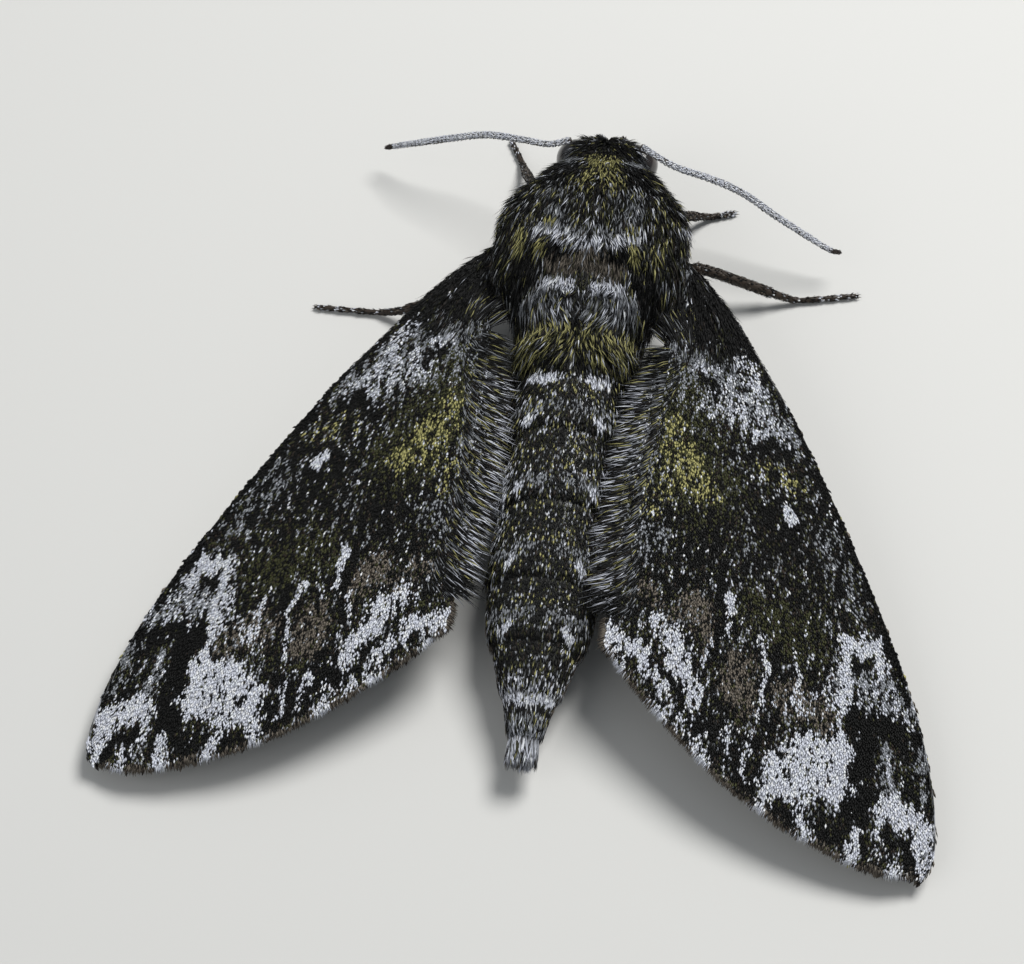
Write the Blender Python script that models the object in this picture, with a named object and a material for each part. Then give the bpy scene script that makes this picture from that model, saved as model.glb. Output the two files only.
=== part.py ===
"""Hawk moth (rustic sphinx) resting with its forewings spread like a low tent, at life size.

Metres, +Z up, head toward -Y, the moth's own left side toward +X. The feet stand on z = 0.
Each body part is one closed solid that reaches out to the tips of its scales, and parts that
touch keep a small gap. Lengths below are in millimetres until a mesh point is made.
"""

import math

import bmesh
import bpy
from mathutils import Matrix, Vector

MM = 0.001
GAP = 0.3

# Trunk. Each row: distance along the body, half width, height of the underside, of the back.
TRUNK = (
    (-25.0, 0.3, 5.3, 5.9),
    (-24.7, 1.8, 4.1, 7.1),
    (-23.9, 2.9, 3.3, 8.5),
    (-22.7, 3.7, 2.8, 9.6),
    (-21.0, 4.3, 2.6, 10.3),
    (-19.4, 5.8, 2.6, 10.9),
    (-18.0, 6.6, 2.6, 11.6),
    (-16.0, 6.9, 2.6, 12.2),
    (-12.5, 7.0, 2.6, 12.6),
    (-9.0, 6.8, 2.6, 12.5),
    (-6.0, 6.0, 2.5, 11.8),
    (-3.0, 5.3, 2.4, 10.7),
    (0.0, 4.9, 1.9, 9.9),
    (5.0, 4.8, 1.4, 9.6),
    (10.0, 4.75, 1.1, 9.1),
    (15.0, 4.7, 1.0, 8.4),
    (18.5, 4.5, 1.0, 7.7),
    (21.5, 3.8, 1.0, 6.9),
    (24.0, 2.9, 1.1, 6.0),
    (26.8, 2.2, 1.3, 5.1),
    (28.8, 1.9, 1.5, 4.5),
    (30.0, 1.5, 1.8, 4.0),
    (30.7, 0.9, 2.2, 3.5),
)
HEAD_END = -20.4
COLLAR_END = -16.9
THORAX_END = -1.6
ABDOMEN_ENDS = (3.8, 9.7, 16.0, 20.8, 24.2, 26.8)
TRUNK_SIDES = 24
TRUNK_STEP = 1.25

# Eye: a ball set into the side of the head.
EYE_CENTRE = (2.7, -22.9, 6.4)
EYE_RADIUS = 1.85

# Shoulder lappet (tegula): a shell over the side of the thorax, hiding the wing root.
TEGULA_SPAN = (-19.3, -5.6)
TEGULA_THICKNESS = 1.15
TEGULA_EDGE = 0.3
TEGULA_LOW_ANGLES = (12.0, 34.0)
TEGULA_HIGH_ANGLE = 60.0
TEGULA_RINGS = 13
TEGULA_ARC_POINTS = 7

# Wing planforms, left side. The front edge and the rear edge both run from root to tip.
FOREWING_FRONT = (
    (7.4, -13.0), (9.4, -11.4), (12.2, -8.5), (18.0, -0.3), (24.6, 11.1),
    (29.3, 20.6), (31.4, 26.8), (32.1, 30.8), (32.1, 33.0), (31.6, 34.1),
)
FOREWING_REAR = (
    (7.3, -7.6), (6.6, -3.0), (5.7, 2.0), (5.35, 8.0), (5.5, 14.0), (5.85, 19.0), (6.3, 22.1),
    (8.6, 24.6), (11.4, 27.0), (15.7, 30.2), (20.7, 32.8), (25.9, 34.5), (29.2, 34.9),
    (31.0, 34.5),
)
HINDWING_FRONT = ((7.3, -6.0), (12.3, 0.5), (17.4, 8.5), (20.6, 16.0), (21.6, 20.6))
HINDWING_REAR = (
    (6.6, -3.0), (5.9, 3.0), (5.8, 8.5), (6.3, 13.5), (8.4, 17.6), (12.5, 20.6), (16.6, 22.2),
    (20.2, 22.7),
)
FOREWING_THICKNESS = 0.6
HINDWING_THICKNESS = 0.5
FOREWING_GRID = (22, 8)
HINDWING_GRID = (12, 6)
WING_RISE = 8.9
WING_TENT = 0.176
WING_PITCH = 0.056
FOREWING_CAMBER = 0.9
HINDWING_CAMBER = 0.2
HINDWING_DROP = 1.1
WING_ROOT = (8.5, -10.0)
ROOT_DIP = 0.9
ROOT_REACH = 3.5
WING_SWING = {"left": 1.4, "right": -1.4}

# Feelers and legs. Each row: place of the centre line and its radius there.
ANTENNAE = {
    "left": (
        (2.9, -22.5, 9.35, 0.34), (4.7, -22.2, 8.9, 0.32), (6.9, -22.8, 8.3, 0.34),
        (10.2, -23.6, 7.4, 0.36), (13.5, -23.8, 6.1, 0.36), (16.4, -24.1, 4.6, 0.34),
        (18.4, -24.5, 3.3, 0.30), (19.3, -24.5, 2.9, 0.26),
    ),
    "right": (
        (-2.9, -22.5, 9.35, 0.34), (-4.6, -21.6, 9.1, 0.32), (-6.2, -21.1, 8.7, 0.34),
        (-9.1, -20.9, 7.8, 0.36), (-11.7, -20.4, 6.9, 0.36), (-14.5, -19.4, 5.6, 0.35),
        (-17.2, -18.6, 4.3, 0.33), (-19.1, -18.1, 3.4, 0.29), (-20.0, -18.1, 3.1, 0.25),
    ),
}
ANTENNA_SIDES = 8
ANTENNA_STATIONS = 22
LEGS = {
    "foreleg_left": (
        (1.7, -17.2, 1.45, 0.85), (4.2, -19.4, 2.3, 0.80), (6.0, -21.5, 3.4, 0.62),
        (7.2, -24.2, 1.5, 0.50), (7.8, -25.9, 0.45, 0.36), (9.0, -28.1, 0.30, 0.34),
    ),
    "foreleg_right": (
        (-1.7, -17.2, 1.45, 0.85), (-4.2, -18.7, 2.4, 0.80), (-6.2, -19.9, 3.4, 0.62),
        (-7.7, -21.4, 1.5, 0.50), (-8.9, -22.2, 0.45, 0.36), (-10.9, -22.9, 0.30, 0.34),
    ),
    "midleg_left": (
        (2.2, -11.0, 1.45, 0.95), (5.6, -10.9, 2.6, 0.88), (9.4, -10.5, 4.0, 0.68),
        (15.2, -9.4, 1.5, 0.54), (17.6, -9.5, 0.45, 0.36), (23.0, -9.5, 0.30, 0.34),
    ),
    "midleg_right": (
        (-2.2, -11.4, 1.45, 0.95), (-5.6, -12.8, 2.7, 0.88), (-8.8, -14.3, 4.4, 0.68),
        (-14.6, -14.5, 1.6, 0.54), (-16.9, -14.7, 0.45, 0.36), (-21.8, -15.8, 0.30, 0.34),
    ),
    "hindleg_left": (
        (2.1, -5.4, 1.30, 0.95), (5.2, -3.8, 2.1, 0.88), (8.6, -0.7, 3.5, 0.68),
        (12.4, 6.2, 1.6, 0.54), (13.8, 9.0, 0.45, 0.36), (16.4, 15.4, 0.30, 0.34),
    ),
    "hindleg_right": (
        (-2.1, -5.4, 1.30, 0.95), (-5.2, -3.8, 2.1, 0.88), (-8.6, -0.7, 3.5, 0.68),
        (-12.4, 6.2, 1.6, 0.54), (-13.8, 9.0, 0.45, 0.36), (-16.4, 15.4, 0.30, 0.34),
    ),
}
LEG_SIDES = 8
LEG_STATIONS = 19
LEG_SLACK = 0.2

# Mouthparts: two scaled palps in front of the face, and the tongue coiled between them.
PALP = (
    (1.10, -24.3, 2.0, 0.45), (1.15, -25.1, 2.9, 0.62), (1.10, -25.6, 4.3, 0.66),
    (1.00, -25.6, 5.5, 0.45),
)
PALP_STATIONS = 9
TONGUE_CENTRE = (0.0, -25.0, 2.2)
TONGUE_RADIUS = 1.15
TONGUE_WIDTH = 0.6
TONGUE_SIDES = 20

# Material: base colour (linear), roughness.
FINISHES = {
    "scale_coat": ((0.018, 0.019, 0.013), 0.72),
    "wing_scales": ((0.022, 0.022, 0.018), 0.70),
    "leg_scales": ((0.030, 0.025, 0.018), 0.68),
    "antenna_white": ((0.62, 0.63, 0.64), 0.60),
    "eye_facets": ((0.010, 0.008, 0.006), 0.22),
    "tongue_horn": ((0.090, 0.045, 0.018), 0.40),
}


def clear_scene():
    """Remove every object of the open scene."""
    for thing in list(bpy.data.objects):
        bpy.data.objects.remove(thing, do_unlink=True)


def finish(name):
    """The material of this name, made on first use."""
    found = bpy.data.materials.get(name)
    if found:
        return found
    colour, roughness = FINISHES[name]
    made = bpy.data.materials.new(name)
    made.use_nodes = True
    shader = made.node_tree.nodes["Principled BSDF"]
    shader.inputs["Base Color"].default_value = (*colour, 1.0)
    shader.inputs["Roughness"].default_value = roughness
    shader.inputs["Metallic"].default_value = 0.0
    return made


def add_object(name, shape, material, root):
    """Turn a bmesh into a smooth-shaded object that hangs from the root empty."""
    bmesh.ops.recalc_face_normals(shape, faces=shape.faces)
    mesh = bpy.data.meshes.new(name)
    shape.to_mesh(mesh)
    shape.free()
    mesh.shade_smooth()
    mesh.set_sharp_from_angle(angle=math.radians(50))
    mesh.materials.append(finish(material))
    made = bpy.data.objects.new(name, mesh)
    bpy.context.scene.collection.objects.link(made)
    made.parent = root
    return made


def between(before, start, end, after, t, slack):
    """Point at t from start to end; slack 0.5 gives a smooth curve, less a straighter run."""
    point = []
    for a, b, c, d in zip(before, start, end, after):
        leaving, arriving = slack * (c - a), slack * (d - b)
        point.append(
            (2 * t**3 - 3 * t**2 + 1) * b
            + (t**3 - 2 * t**2 + t) * leaving
            + (3 * t**2 - 2 * t**3) * c
            + (t**3 - t**2) * arriving
        )
    return tuple(point)


def curve_point(rows, t, slack=0.5):
    """Point at 0..1 along the curve through the rows, by the length of its chords."""
    lengths = [math.dist(a[:3], b[:3]) for a, b in zip(rows, rows[1:])]
    place = t * sum(lengths)
    for i, length in enumerate(lengths):
        if place <= length or i == len(lengths) - 1:
            before = rows[max(i - 1, 0)]
            after = rows[min(i + 2, len(rows) - 1)]
            return between(before, rows[i], rows[i + 1], after, min(place / length, 1.0), slack)
        place -= length
    return rows[-1]


def trunk_section(y):
    """(half width, height of the middle, half height) of the trunk at this distance along it."""
    index = max(i for i, row in enumerate(TRUNK[:-1]) if row[0] <= y or i == 0)
    start, end = TRUNK[index], TRUNK[index + 1]
    before, after = TRUNK[max(index - 1, 0)], TRUNK[min(index + 2, len(TRUNK) - 1)]
    t = (y - start[0]) / (end[0] - start[0])
    _, width, low, high = between(before, start, end, after, t, 0.5)
    return width, (low + high) / 2, (high - low) / 2


def trunk_ring(y):
    """Points around the trunk at y."""
    width, middle, half = trunk_section(y)
    angles = [math.tau * i / TRUNK_SIDES for i in range(TRUNK_SIDES)]
    return [Vector((width * math.cos(a), y, middle + half * math.sin(a))) for a in angles]


def loft(rings):
    """Closed bmesh through rings of the same number of points, with flat ends."""
    shape = bmesh.new()
    loops = []
    for ring in rings:
        verts = [shape.verts.new(point * MM) for point in ring]
        edges = [shape.edges.new(pair) for pair in zip(verts, verts[1:] + verts[:1])]
        loops.append((verts, edges))
    for (_, lower), (_, upper) in zip(loops, loops[1:]):
        bmesh.ops.bridge_loops(shape, edges=lower + upper)
    for verts, _ in (loops[0], loops[-1]):
        shape.faces.new(verts)
    return shape


def trunk_length(start, end):
    """Closed bmesh of the trunk between two distances along it."""
    count = max(2, round((end - start) / TRUNK_STEP))
    return loft([trunk_ring(start + (end - start) * i / count) for i in range(count + 1)])


def head_shape():
    """The head, whose first rings close in quickly toward the face."""
    face = [TRUNK[0][0], TRUNK[1][0], -24.35, TRUNK[2][0], -23.35, TRUNK[3][0]]
    back = [-21.9, -21.1, HEAD_END - GAP / 2]
    return loft([trunk_ring(y) for y in face + back])


def ball(centre, radius, segments=16, rings=10):
    """A sphere with its poles to the sides."""
    shape = bmesh.new()
    bmesh.ops.create_uvsphere(shape, u_segments=segments, v_segments=rings, radius=radius * MM)
    bmesh.ops.rotate(shape, verts=shape.verts, matrix=Matrix.Rotation(math.pi / 2, 3, "Y"))
    bmesh.ops.translate(shape, verts=shape.verts, vec=Vector(centre) * MM)
    return shape


def tube(rows, sides, stations, slack=0.5):
    """Closed bmesh along the rows of place and radius, standing on z = 0 where it reaches it."""
    samples = [curve_point(rows, i / stations, slack) for i in range(stations + 1)]
    centres = [Vector(sample[:3]) for sample in samples]
    rings = []
    across = Vector((0, 0, 1))
    for i, (centre, sample) in enumerate(zip(centres, samples)):
        along = (centres[min(i + 1, stations)] - centres[max(i - 1, 0)]).normalized()
        across = (across - along * across.dot(along)).normalized()
        other = along.cross(across)
        angles = [math.tau * k / sides for k in range(sides)]
        rings.append(
            [centre + (across * math.cos(a) + other * math.sin(a)) * sample[3] for a in angles]
        )
    for ring in rings:
        for point in ring:
            point.z = max(point.z, 0.0)
    return loft(rings)


def tegula_shape(side):
    """A lens-shaped shell over the shoulder, thickest in the middle of its arc."""
    rings = []
    for i in range(TEGULA_RINGS):
        t = i / (TEGULA_RINGS - 1)
        y = TEGULA_SPAN[0] + t * (TEGULA_SPAN[1] - TEGULA_SPAN[0])
        width, middle, half = trunk_section(y)
        fullness = math.sin(math.pi * (0.04 + 0.92 * t))
        low = TEGULA_LOW_ANGLES[0] + t**2 * (TEGULA_LOW_ANGLES[1] - TEGULA_LOW_ANGLES[0])
        reach = (TEGULA_HIGH_ANGLE - low) * fullness**0.5
        centre = (TEGULA_HIGH_ANGLE + low) / 2
        arc = [
            centre + reach * (k / (TEGULA_ARC_POINTS - 1) - 0.5) for k in range(TEGULA_ARC_POINTS)
        ]
        outer, inner = [], []
        for k, degrees in enumerate(arc):
            angle = math.radians(degrees)
            across = math.sin(math.pi * k / (TEGULA_ARC_POINTS - 1)) ** 0.7
            swell = TEGULA_EDGE + (TEGULA_THICKNESS - TEGULA_EDGE) * fullness * across
            for points, out in ((outer, GAP + swell), (inner, GAP)):
                points.append(
                    Vector(
                        (
                            side * (width + out) * math.cos(angle),
                            y,
                            middle + (half + out) * math.sin(angle),
                        )
                    )
                )
        rings.append(outer + inner[::-1])
    return loft(rings)


def wing_height(x, y):
    """Height of the tent that the wings lie on, without their camber."""
    dip = ROOT_DIP * math.exp(-math.dist((x, y), WING_ROOT) / ROOT_REACH)
    return WING_RISE - WING_TENT * x - WING_PITCH * y - dip


def wing_shape(front, rear, grid, thickness, camber, side_name, drop=0.0):
    """A wing plate ruled between its front and rear edges, swung about its root."""
    side = 1 if side_name == "left" else -1
    steps_along, steps_across = grid
    swing = Matrix.Rotation(math.radians(-WING_SWING[side_name]), 2)
    pivot = Vector(WING_ROOT)
    shape = bmesh.new()
    rows = []
    for i in range(steps_along + 1):
        ahead = Vector(curve_point(front, i / steps_along))
        behind = Vector(curve_point(rear, i / steps_along))
        row = []
        for k in range(steps_across + 1):
            fraction = k / steps_across
            flat = ahead.lerp(behind, fraction)
            arch = camber * 4 * fraction * (1 - fraction) * math.sin(math.pi * i / steps_along)
            height = wing_height(flat.x, flat.y) + arch - drop - thickness / 2
            swung = swing @ (flat - pivot) + pivot
            row.append(shape.verts.new(Vector((side * swung.x, swung.y, height)) * MM))
        rows.append(row)
    for here, there in zip(rows, rows[1:]):
        for k in range(steps_across):
            shape.faces.new((here[k], here[k + 1], there[k + 1], there[k]))
    sheet = list(shape.faces)
    raised = bmesh.ops.extrude_face_region(shape, geom=sheet, use_keep_orig=True)["geom"]
    top = [item for item in raised if isinstance(item, bmesh.types.BMVert)]
    bmesh.ops.translate(shape, verts=top, vec=Vector((0, 0, thickness)) * MM)
    return shape


def tongue_shape():
    """The coiled tongue as one flat drum, its axis across the head."""
    shape = bmesh.new()
    bmesh.ops.create_cone(
        shape,
        cap_ends=True,
        segments=TONGUE_SIDES,
        radius1=TONGUE_RADIUS * MM,
        radius2=TONGUE_RADIUS * MM,
        depth=TONGUE_WIDTH * MM,
    )
    bmesh.ops.rotate(shape, verts=shape.verts, matrix=Matrix.Rotation(math.pi / 2, 3, "Y"))
    bmesh.ops.translate(shape, verts=shape.verts, vec=Vector(TONGUE_CENTRE) * MM)
    return shape


def cut_with(thing, cutter_name, cutter_shape, root):
    """Cut a hidden helper out of the object."""
    cutter = add_object(cutter_name, cutter_shape, "scale_coat", root)
    cutter.hide_render = True
    cutter.display_type = "WIRE"
    boolean = thing.modifiers.new(cutter_name, "BOOLEAN")
    boolean.operation = "DIFFERENCE"
    boolean.solver = "EXACT"
    boolean.object = cutter


def build_trunk(root):
    """Head, collar, thorax, the lengths of the abdomen and the tuft at its end."""
    head = add_object("head", head_shape(), "scale_coat", root)
    add_object("collar", trunk_length(HEAD_END + GAP / 2, COLLAR_END - GAP / 2), "scale_coat", root)
    add_object("thorax", trunk_length(COLLAR_END + GAP / 2, THORAX_END - GAP / 2), "scale_coat", root)
    start = THORAX_END
    for number, end in enumerate(ABDOMEN_ENDS, 1):
        length = trunk_length(start + GAP / 2, end - GAP / 2)
        add_object(f"abdomen_{number}", length, "scale_coat", root)
        start = end
    add_object("tail_tuft", trunk_length(start + GAP / 2, TRUNK[-1][0]), "scale_coat", root)
    return head


def build_side(side_name, head, root):
    """Everything of which the moth has one on each side."""
    side = 1 if side_name == "left" else -1

    def sided(centre):
        return (side * centre[0], *centre[1:])

    add_object(f"eye_{side_name}", ball(sided(EYE_CENTRE), EYE_RADIUS), "eye_facets", root)
    socket = ball(sided(EYE_CENTRE), EYE_RADIUS + GAP, segments=20, rings=12)
    cut_with(head, f"socket_{side_name}", socket, root)
    palp = tube([sided(row) for row in PALP], LEG_SIDES, PALP_STATIONS)
    add_object(f"palp_{side_name}", palp, "scale_coat", root)
    add_object(f"tegula_{side_name}", tegula_shape(side), "scale_coat", root)
    antenna = tube(ANTENNAE[side_name], ANTENNA_SIDES, ANTENNA_STATIONS)
    add_object(f"antenna_{side_name}", antenna, "antenna_white", root)
    forewing = wing_shape(
        FOREWING_FRONT,
        FOREWING_REAR,
        FOREWING_GRID,
        FOREWING_THICKNESS,
        FOREWING_CAMBER,
        side_name,
    )
    add_object(f"forewing_{side_name}", forewing, "wing_scales", root)
    hindwing = wing_shape(
        HINDWING_FRONT,
        HINDWING_REAR,
        HINDWING_GRID,
        HINDWING_THICKNESS,
        HINDWING_CAMBER,
        side_name,
        HINDWING_DROP,
    )
    add_object(f"hindwing_{side_name}", hindwing, "wing_scales", root)


def centre_on_floor(root):
    """Move the root so that the moth's box is centred on the origin and stands on z = 0."""
    bpy.context.view_layer.update()
    solids = [thing for thing in bpy.data.objects if thing.type == "MESH" and not thing.hide_render]
    corners = [thing.matrix_world @ Vector(c) for thing in solids for c in thing.bound_box]
    lows = [min(corner[axis] for corner in corners) for axis in range(3)]
    highs = [max(corner[axis] for corner in corners) for axis in range(3)]
    root.location = (-(lows[0] + highs[0]) / 2, -(lows[1] + highs[1]) / 2, -lows[2])


def main():
    """Build the moth."""
    clear_scene()
    root = bpy.data.objects.new("moth_root", None)
    bpy.context.scene.collection.objects.link(root)
    head = build_trunk(root)
    for side_name in ("left", "right"):
        build_side(side_name, head, root)
    for name, rows in LEGS.items():
        add_object(name, tube(rows, LEG_SIDES, LEG_STATIONS, LEG_SLACK), "leg_scales", root)
    add_object("proboscis", tongue_shape(), "tongue_horn", root)
    centre_on_floor(root)


main()
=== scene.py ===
"""Hawk moth (rustic sphinx) at rest: skin, wing membranes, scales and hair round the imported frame.

Shapes are worked out in millimetres on the moth's own axes: x toward its left, y toward its tail,
z up from the floor. They become metres in the frame when an object is made. The skin lies inside
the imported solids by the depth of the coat, and the scales and locks reach back out to them.
"""

from __future__ import annotations

import logging
import math
from dataclasses import dataclass, replace
from enum import Enum

import bmesh
import bpy
import numpy as np
from mathutils import Matrix, Vector
from mathutils.bvhtree import BVHTree

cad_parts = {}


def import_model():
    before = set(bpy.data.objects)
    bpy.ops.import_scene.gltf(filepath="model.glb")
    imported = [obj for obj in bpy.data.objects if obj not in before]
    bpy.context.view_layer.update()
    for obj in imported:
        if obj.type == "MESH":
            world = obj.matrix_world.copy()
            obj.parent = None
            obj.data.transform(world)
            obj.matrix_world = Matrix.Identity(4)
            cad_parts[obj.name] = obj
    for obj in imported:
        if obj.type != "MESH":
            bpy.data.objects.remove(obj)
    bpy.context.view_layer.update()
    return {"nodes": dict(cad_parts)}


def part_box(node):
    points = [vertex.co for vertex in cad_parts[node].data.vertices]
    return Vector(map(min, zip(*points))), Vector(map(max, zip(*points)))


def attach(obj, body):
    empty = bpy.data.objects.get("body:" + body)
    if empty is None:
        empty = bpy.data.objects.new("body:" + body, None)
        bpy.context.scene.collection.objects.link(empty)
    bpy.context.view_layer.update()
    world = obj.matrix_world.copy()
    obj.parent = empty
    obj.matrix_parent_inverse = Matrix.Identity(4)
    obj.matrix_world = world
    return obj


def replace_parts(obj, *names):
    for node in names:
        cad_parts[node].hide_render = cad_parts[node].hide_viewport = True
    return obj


LOG = logging.getLogger("hawk_moth")
MM = 0.001
IMAGE_WIDTH = 1024
BAKE_MAP = "OFBake"
BAKE_PATCH = 0.003
TINT = "scale_tint"
THORAX_START = -16.75
# Steps of the even two-way sequence that spreads the roots of the coat.
EVEN_STEPS = (0.7548776662466927, 0.5698402909980532)

Array = np.ndarray
Place2 = tuple[float, float]
Place3 = tuple[float, float, float]


def linear(hex_colour: str) -> tuple[float, float, float]:
    """Turn an sRGB hex colour into linear light.

    Args:
        hex_colour: six hex digits.

    Returns:
        Red, green and blue from 0 to 1.
    """
    channels = [int(hex_colour[i : i + 2], 16) / 255 for i in (0, 2, 4)]
    red, green, blue = (
        c / 12.92 if c <= 0.04045 else ((c + 0.055) / 1.055) ** 2.4 for c in channels
    )
    return red, green, blue


def unit(vectors: Array) -> Array:
    """Scale each vector to a length of one."""
    return vectors / np.maximum(np.linalg.norm(vectors, axis=-1, keepdims=True), 1e-12)


def drape(lie: Array, normal: Array) -> Array:
    """Lay vectors down on a skin with these normals and scale them to one."""
    return unit(lie - normal * np.sum(lie * normal, axis=1, keepdims=True))


def level(flat: Array) -> Array:
    """Add a height of zero to rows of x and y."""
    return np.concatenate([flat, np.zeros((len(flat), 1))], axis=1)


def sided(place: Place3, sign: int) -> Array:
    """A place given for the left side, on the side with this sign."""
    return np.array((sign * place[0], *place[1:]))


def even_pairs(count: int, seed: int) -> Array:
    """Spread pairs of numbers evenly over the unit square.

    Args:
        count: how many pairs.
        seed: where the sequence starts.

    Returns:
        An array of count rows of two numbers from 0 to 1.
    """
    start = np.random.default_rng(seed).random(2)
    steps = np.arange(1, count + 1)[:, None] * np.array(EVEN_STEPS)
    return (start + steps) % 1.0


def curve(rows: tuple, count: int, slack: float = 0.5) -> Array:
    """Points evenly spaced by chord length along a smooth curve through the rows.

    Args:
        rows: the rows that the curve passes through.
        count: how many points.
        slack: 0.5 for a smooth curve, less for a straighter run between the rows.

    Returns:
        One row of numbers for each point.
    """
    table = np.array(rows, float)
    chords = np.linalg.norm(np.diff(table[:, :3], axis=0), axis=1)
    ends = np.concatenate([[0.0], np.cumsum(chords)])
    place = np.linspace(0.0, ends[-1], count)
    index = np.clip(np.searchsorted(ends, place, side="right") - 1, 0, len(chords) - 1)
    t = ((place - ends[index]) / chords[index])[:, None]
    last = len(table) - 1
    start, end = table[index], table[index + 1]
    leaving = slack * (end - table[np.maximum(index - 1, 0)])
    arriving = slack * (table[np.minimum(index + 2, last)] - start)
    return (
        (2 * t**3 - 3 * t**2 + 1) * start
        + (t**3 - 2 * t**2 + t) * leaving
        + (3 * t**2 - 2 * t**3) * end
        + (t**3 - t**2) * arriving
    )


@dataclass(frozen=True)
class Plan:
    """Where the moth's own axes stand in the frame."""

    shift: Place2

    @classmethod
    def of_frame(cls) -> Plan:
        """Find the axes from the box of the thorax."""
        low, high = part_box("thorax")
        return cls(((low.x + high.x) / 2 / MM, low.y / MM - THORAX_START))

    def metres(self, points: Array) -> Array:
        """Turn points on the moth's axes into places in the frame."""
        return (points + np.array((*self.shift, 0.0))) * MM

    def own(self, points: Array) -> Array:
        """Turn places in the frame into points on the moth's axes."""
        return points / MM - np.array((*self.shift, 0.0))

    def node_points(self, node: bpy.types.Object) -> Array:
        """The vertices of a CAD node on the moth's axes."""
        found = np.empty(len(node.data.vertices) * 3)
        node.data.vertices.foreach_get("co", found)
        return self.own(found.reshape(-1, 3))


@dataclass(frozen=True)
class Mottle:
    """A smooth random field over a plane, the same on every run."""

    seed: int
    cell: Place2
    size: int = 64

    def at(self, x: Array, y: Array) -> Array:
        """Value from 0 to 1 at each place.

        Args:
            x: places across, in mm.
            y: places along, in mm.

        Returns:
            The field there.
        """
        table = np.random.default_rng(self.seed).random((self.size, self.size))
        a, b = x / self.cell[0], y / self.cell[1]
        i, j = np.floor(a).astype(int), np.floor(b).astype(int)
        s, t = a - i, b - j
        s, t = s * s * (3 - 2 * s), t * t * (3 - 2 * t)
        i, j, k, m = i % self.size, j % self.size, (i + 1) % self.size, (j + 1) % self.size
        near = table[i, j] * (1 - s) + table[k, j] * s
        far = table[i, m] * (1 - s) + table[k, m] * s
        return near * (1 - t) + far * t


class Tint(Enum):
    """Colours that single scales and hairs have."""

    BLACK = "0b0b09"
    UMBER = "302821"
    OLIVE = "3f4026"
    STRAW = "a8a36a"
    DRAB = "6f675c"
    GREY = "8f9296"
    WHITE = "e3e6f0"
    AMBER = "c9993c"


TINTS = tuple(Tint)
TINT_COLOURS = np.array([linear(tint.value) for tint in TINTS])


@dataclass(frozen=True)
class Mark:
    """A soft stroke in which a share of the scales take one tint."""

    tint: Tint
    start: Place2
    end: Place2
    reach: float
    share: float = 0.9
    soft: float = 0.5

    def cover(self, x: Array, y: Array) -> Array:
        """Share of the scales that take the tint at each place."""
        across, along = self.end[0] - self.start[0], self.end[1] - self.start[1]
        run = max(across**2 + along**2, 1e-9)
        t = np.clip(((x - self.start[0]) * across + (y - self.start[1]) * along) / run, 0, 1)
        away = np.hypot(x - self.start[0] - t * across, y - self.start[1] - t * along)
        return self.share * np.clip((self.reach + self.soft / 2 - away) / self.soft, 0, 1)


@dataclass(frozen=True)
class Pattern:
    """Markings as shares of tints, laid over a ground one mark after another."""

    ground: dict[Tint, float]
    marks: tuple[Mark, ...]
    seed: int
    ragged: float = 0.35
    grain: Place2 = (0.2, 0.75)
    mixed: float = 0.62

    def shares(self, x: Array, y: Array) -> Array:
        """Share of each tint at each place.

        Args:
            x: places across, in mm.
            y: places along, in mm.

        Returns:
            One row for each place, one column for each tint.
        """
        warp_x = Mottle(self.seed + 1, (0.7, 1.3)).at(x, y) - 0.5
        warp_y = Mottle(self.seed + 2, (0.5, 1.6)).at(x, y) - 0.5
        x, y = x + 2 * self.ragged * warp_x, y + 4 * self.ragged * warp_y
        found = np.tile([self.ground.get(tint, 0.0) for tint in TINTS], (len(x), 1))
        for mark in self.marks:
            cover = mark.cover(x, y)[:, None]
            found *= 1 - cover
            found[:, TINTS.index(mark.tint)] += cover[:, 0]
        return found / found.sum(axis=1, keepdims=True)

    def average(self, x: Array, y: Array) -> Array:
        """Mean colour at each place, for the skin under the coat."""
        return self.shares(x, y) @ TINT_COLOURS

    def pick(self, x: Array, y: Array, seed: int) -> Array:
        """Tint of the single scale at each place, as an index into TINTS.

        Args:
            x: places across, in mm.
            y: places along, in mm.
            seed: seed of the draws.

        Returns:
            One index for each place.
        """
        chance = np.random.default_rng(seed).random(len(x))
        streak = Mottle(self.seed + 3, self.grain).at(x, y)
        drawn = self.mixed * chance + (1 - self.mixed) * streak * 1.6
        rank = np.empty(len(x))
        rank[np.argsort(drawn)] = (np.arange(len(x)) + 0.5) / len(x)
        order = np.argsort(TINT_COLOURS.sum(axis=1))
        steps = np.cumsum(self.shares(x, y)[:, order], axis=1)
        return order[np.minimum((rank[:, None] > steps).sum(axis=1), len(order) - 1)]


@dataclass(frozen=True)
class Blade:
    """Shape of one scale or lock: (place along it, share of its width) from root to tip."""

    stations: tuple[Place2, ...]
    pointed_root: bool

    def template(self) -> tuple[Array, Array]:
        """Corner points and triangles of one closed blade.

        Returns:
            Rows of (along, across, up) in shares of length, width and thickness, and rows of
            three corner numbers.
        """
        points: list[Place3] = []
        rings: list[list[int]] = []
        if self.pointed_root:
            points.append((0.0, 0.0, 0.0))
            rings.append([0, 0, 0])
        for along, width in self.stations:
            first = len(points)
            points += [(along, -width / 2, 0.0), (along, width / 2, 0.0), (along, 0.0, width)]
            rings.append([first, first + 1, first + 2])
        points.append((1.0, 0.0, 0.0))
        rings.append([len(points) - 1] * 3)
        faces = [] if self.pointed_root else [tuple(rings[0])]
        for near, far in zip(rings, rings[1:]):
            for a, b in ((0, 1), (1, 2), (2, 0)):
                faces.append((near[b], near[a], far[a]))
                faces.append((near[b], far[a], far[b]))
        kept = [face for face in faces if len(set(face)) == 3]
        return np.array(points), np.array(kept)


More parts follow.
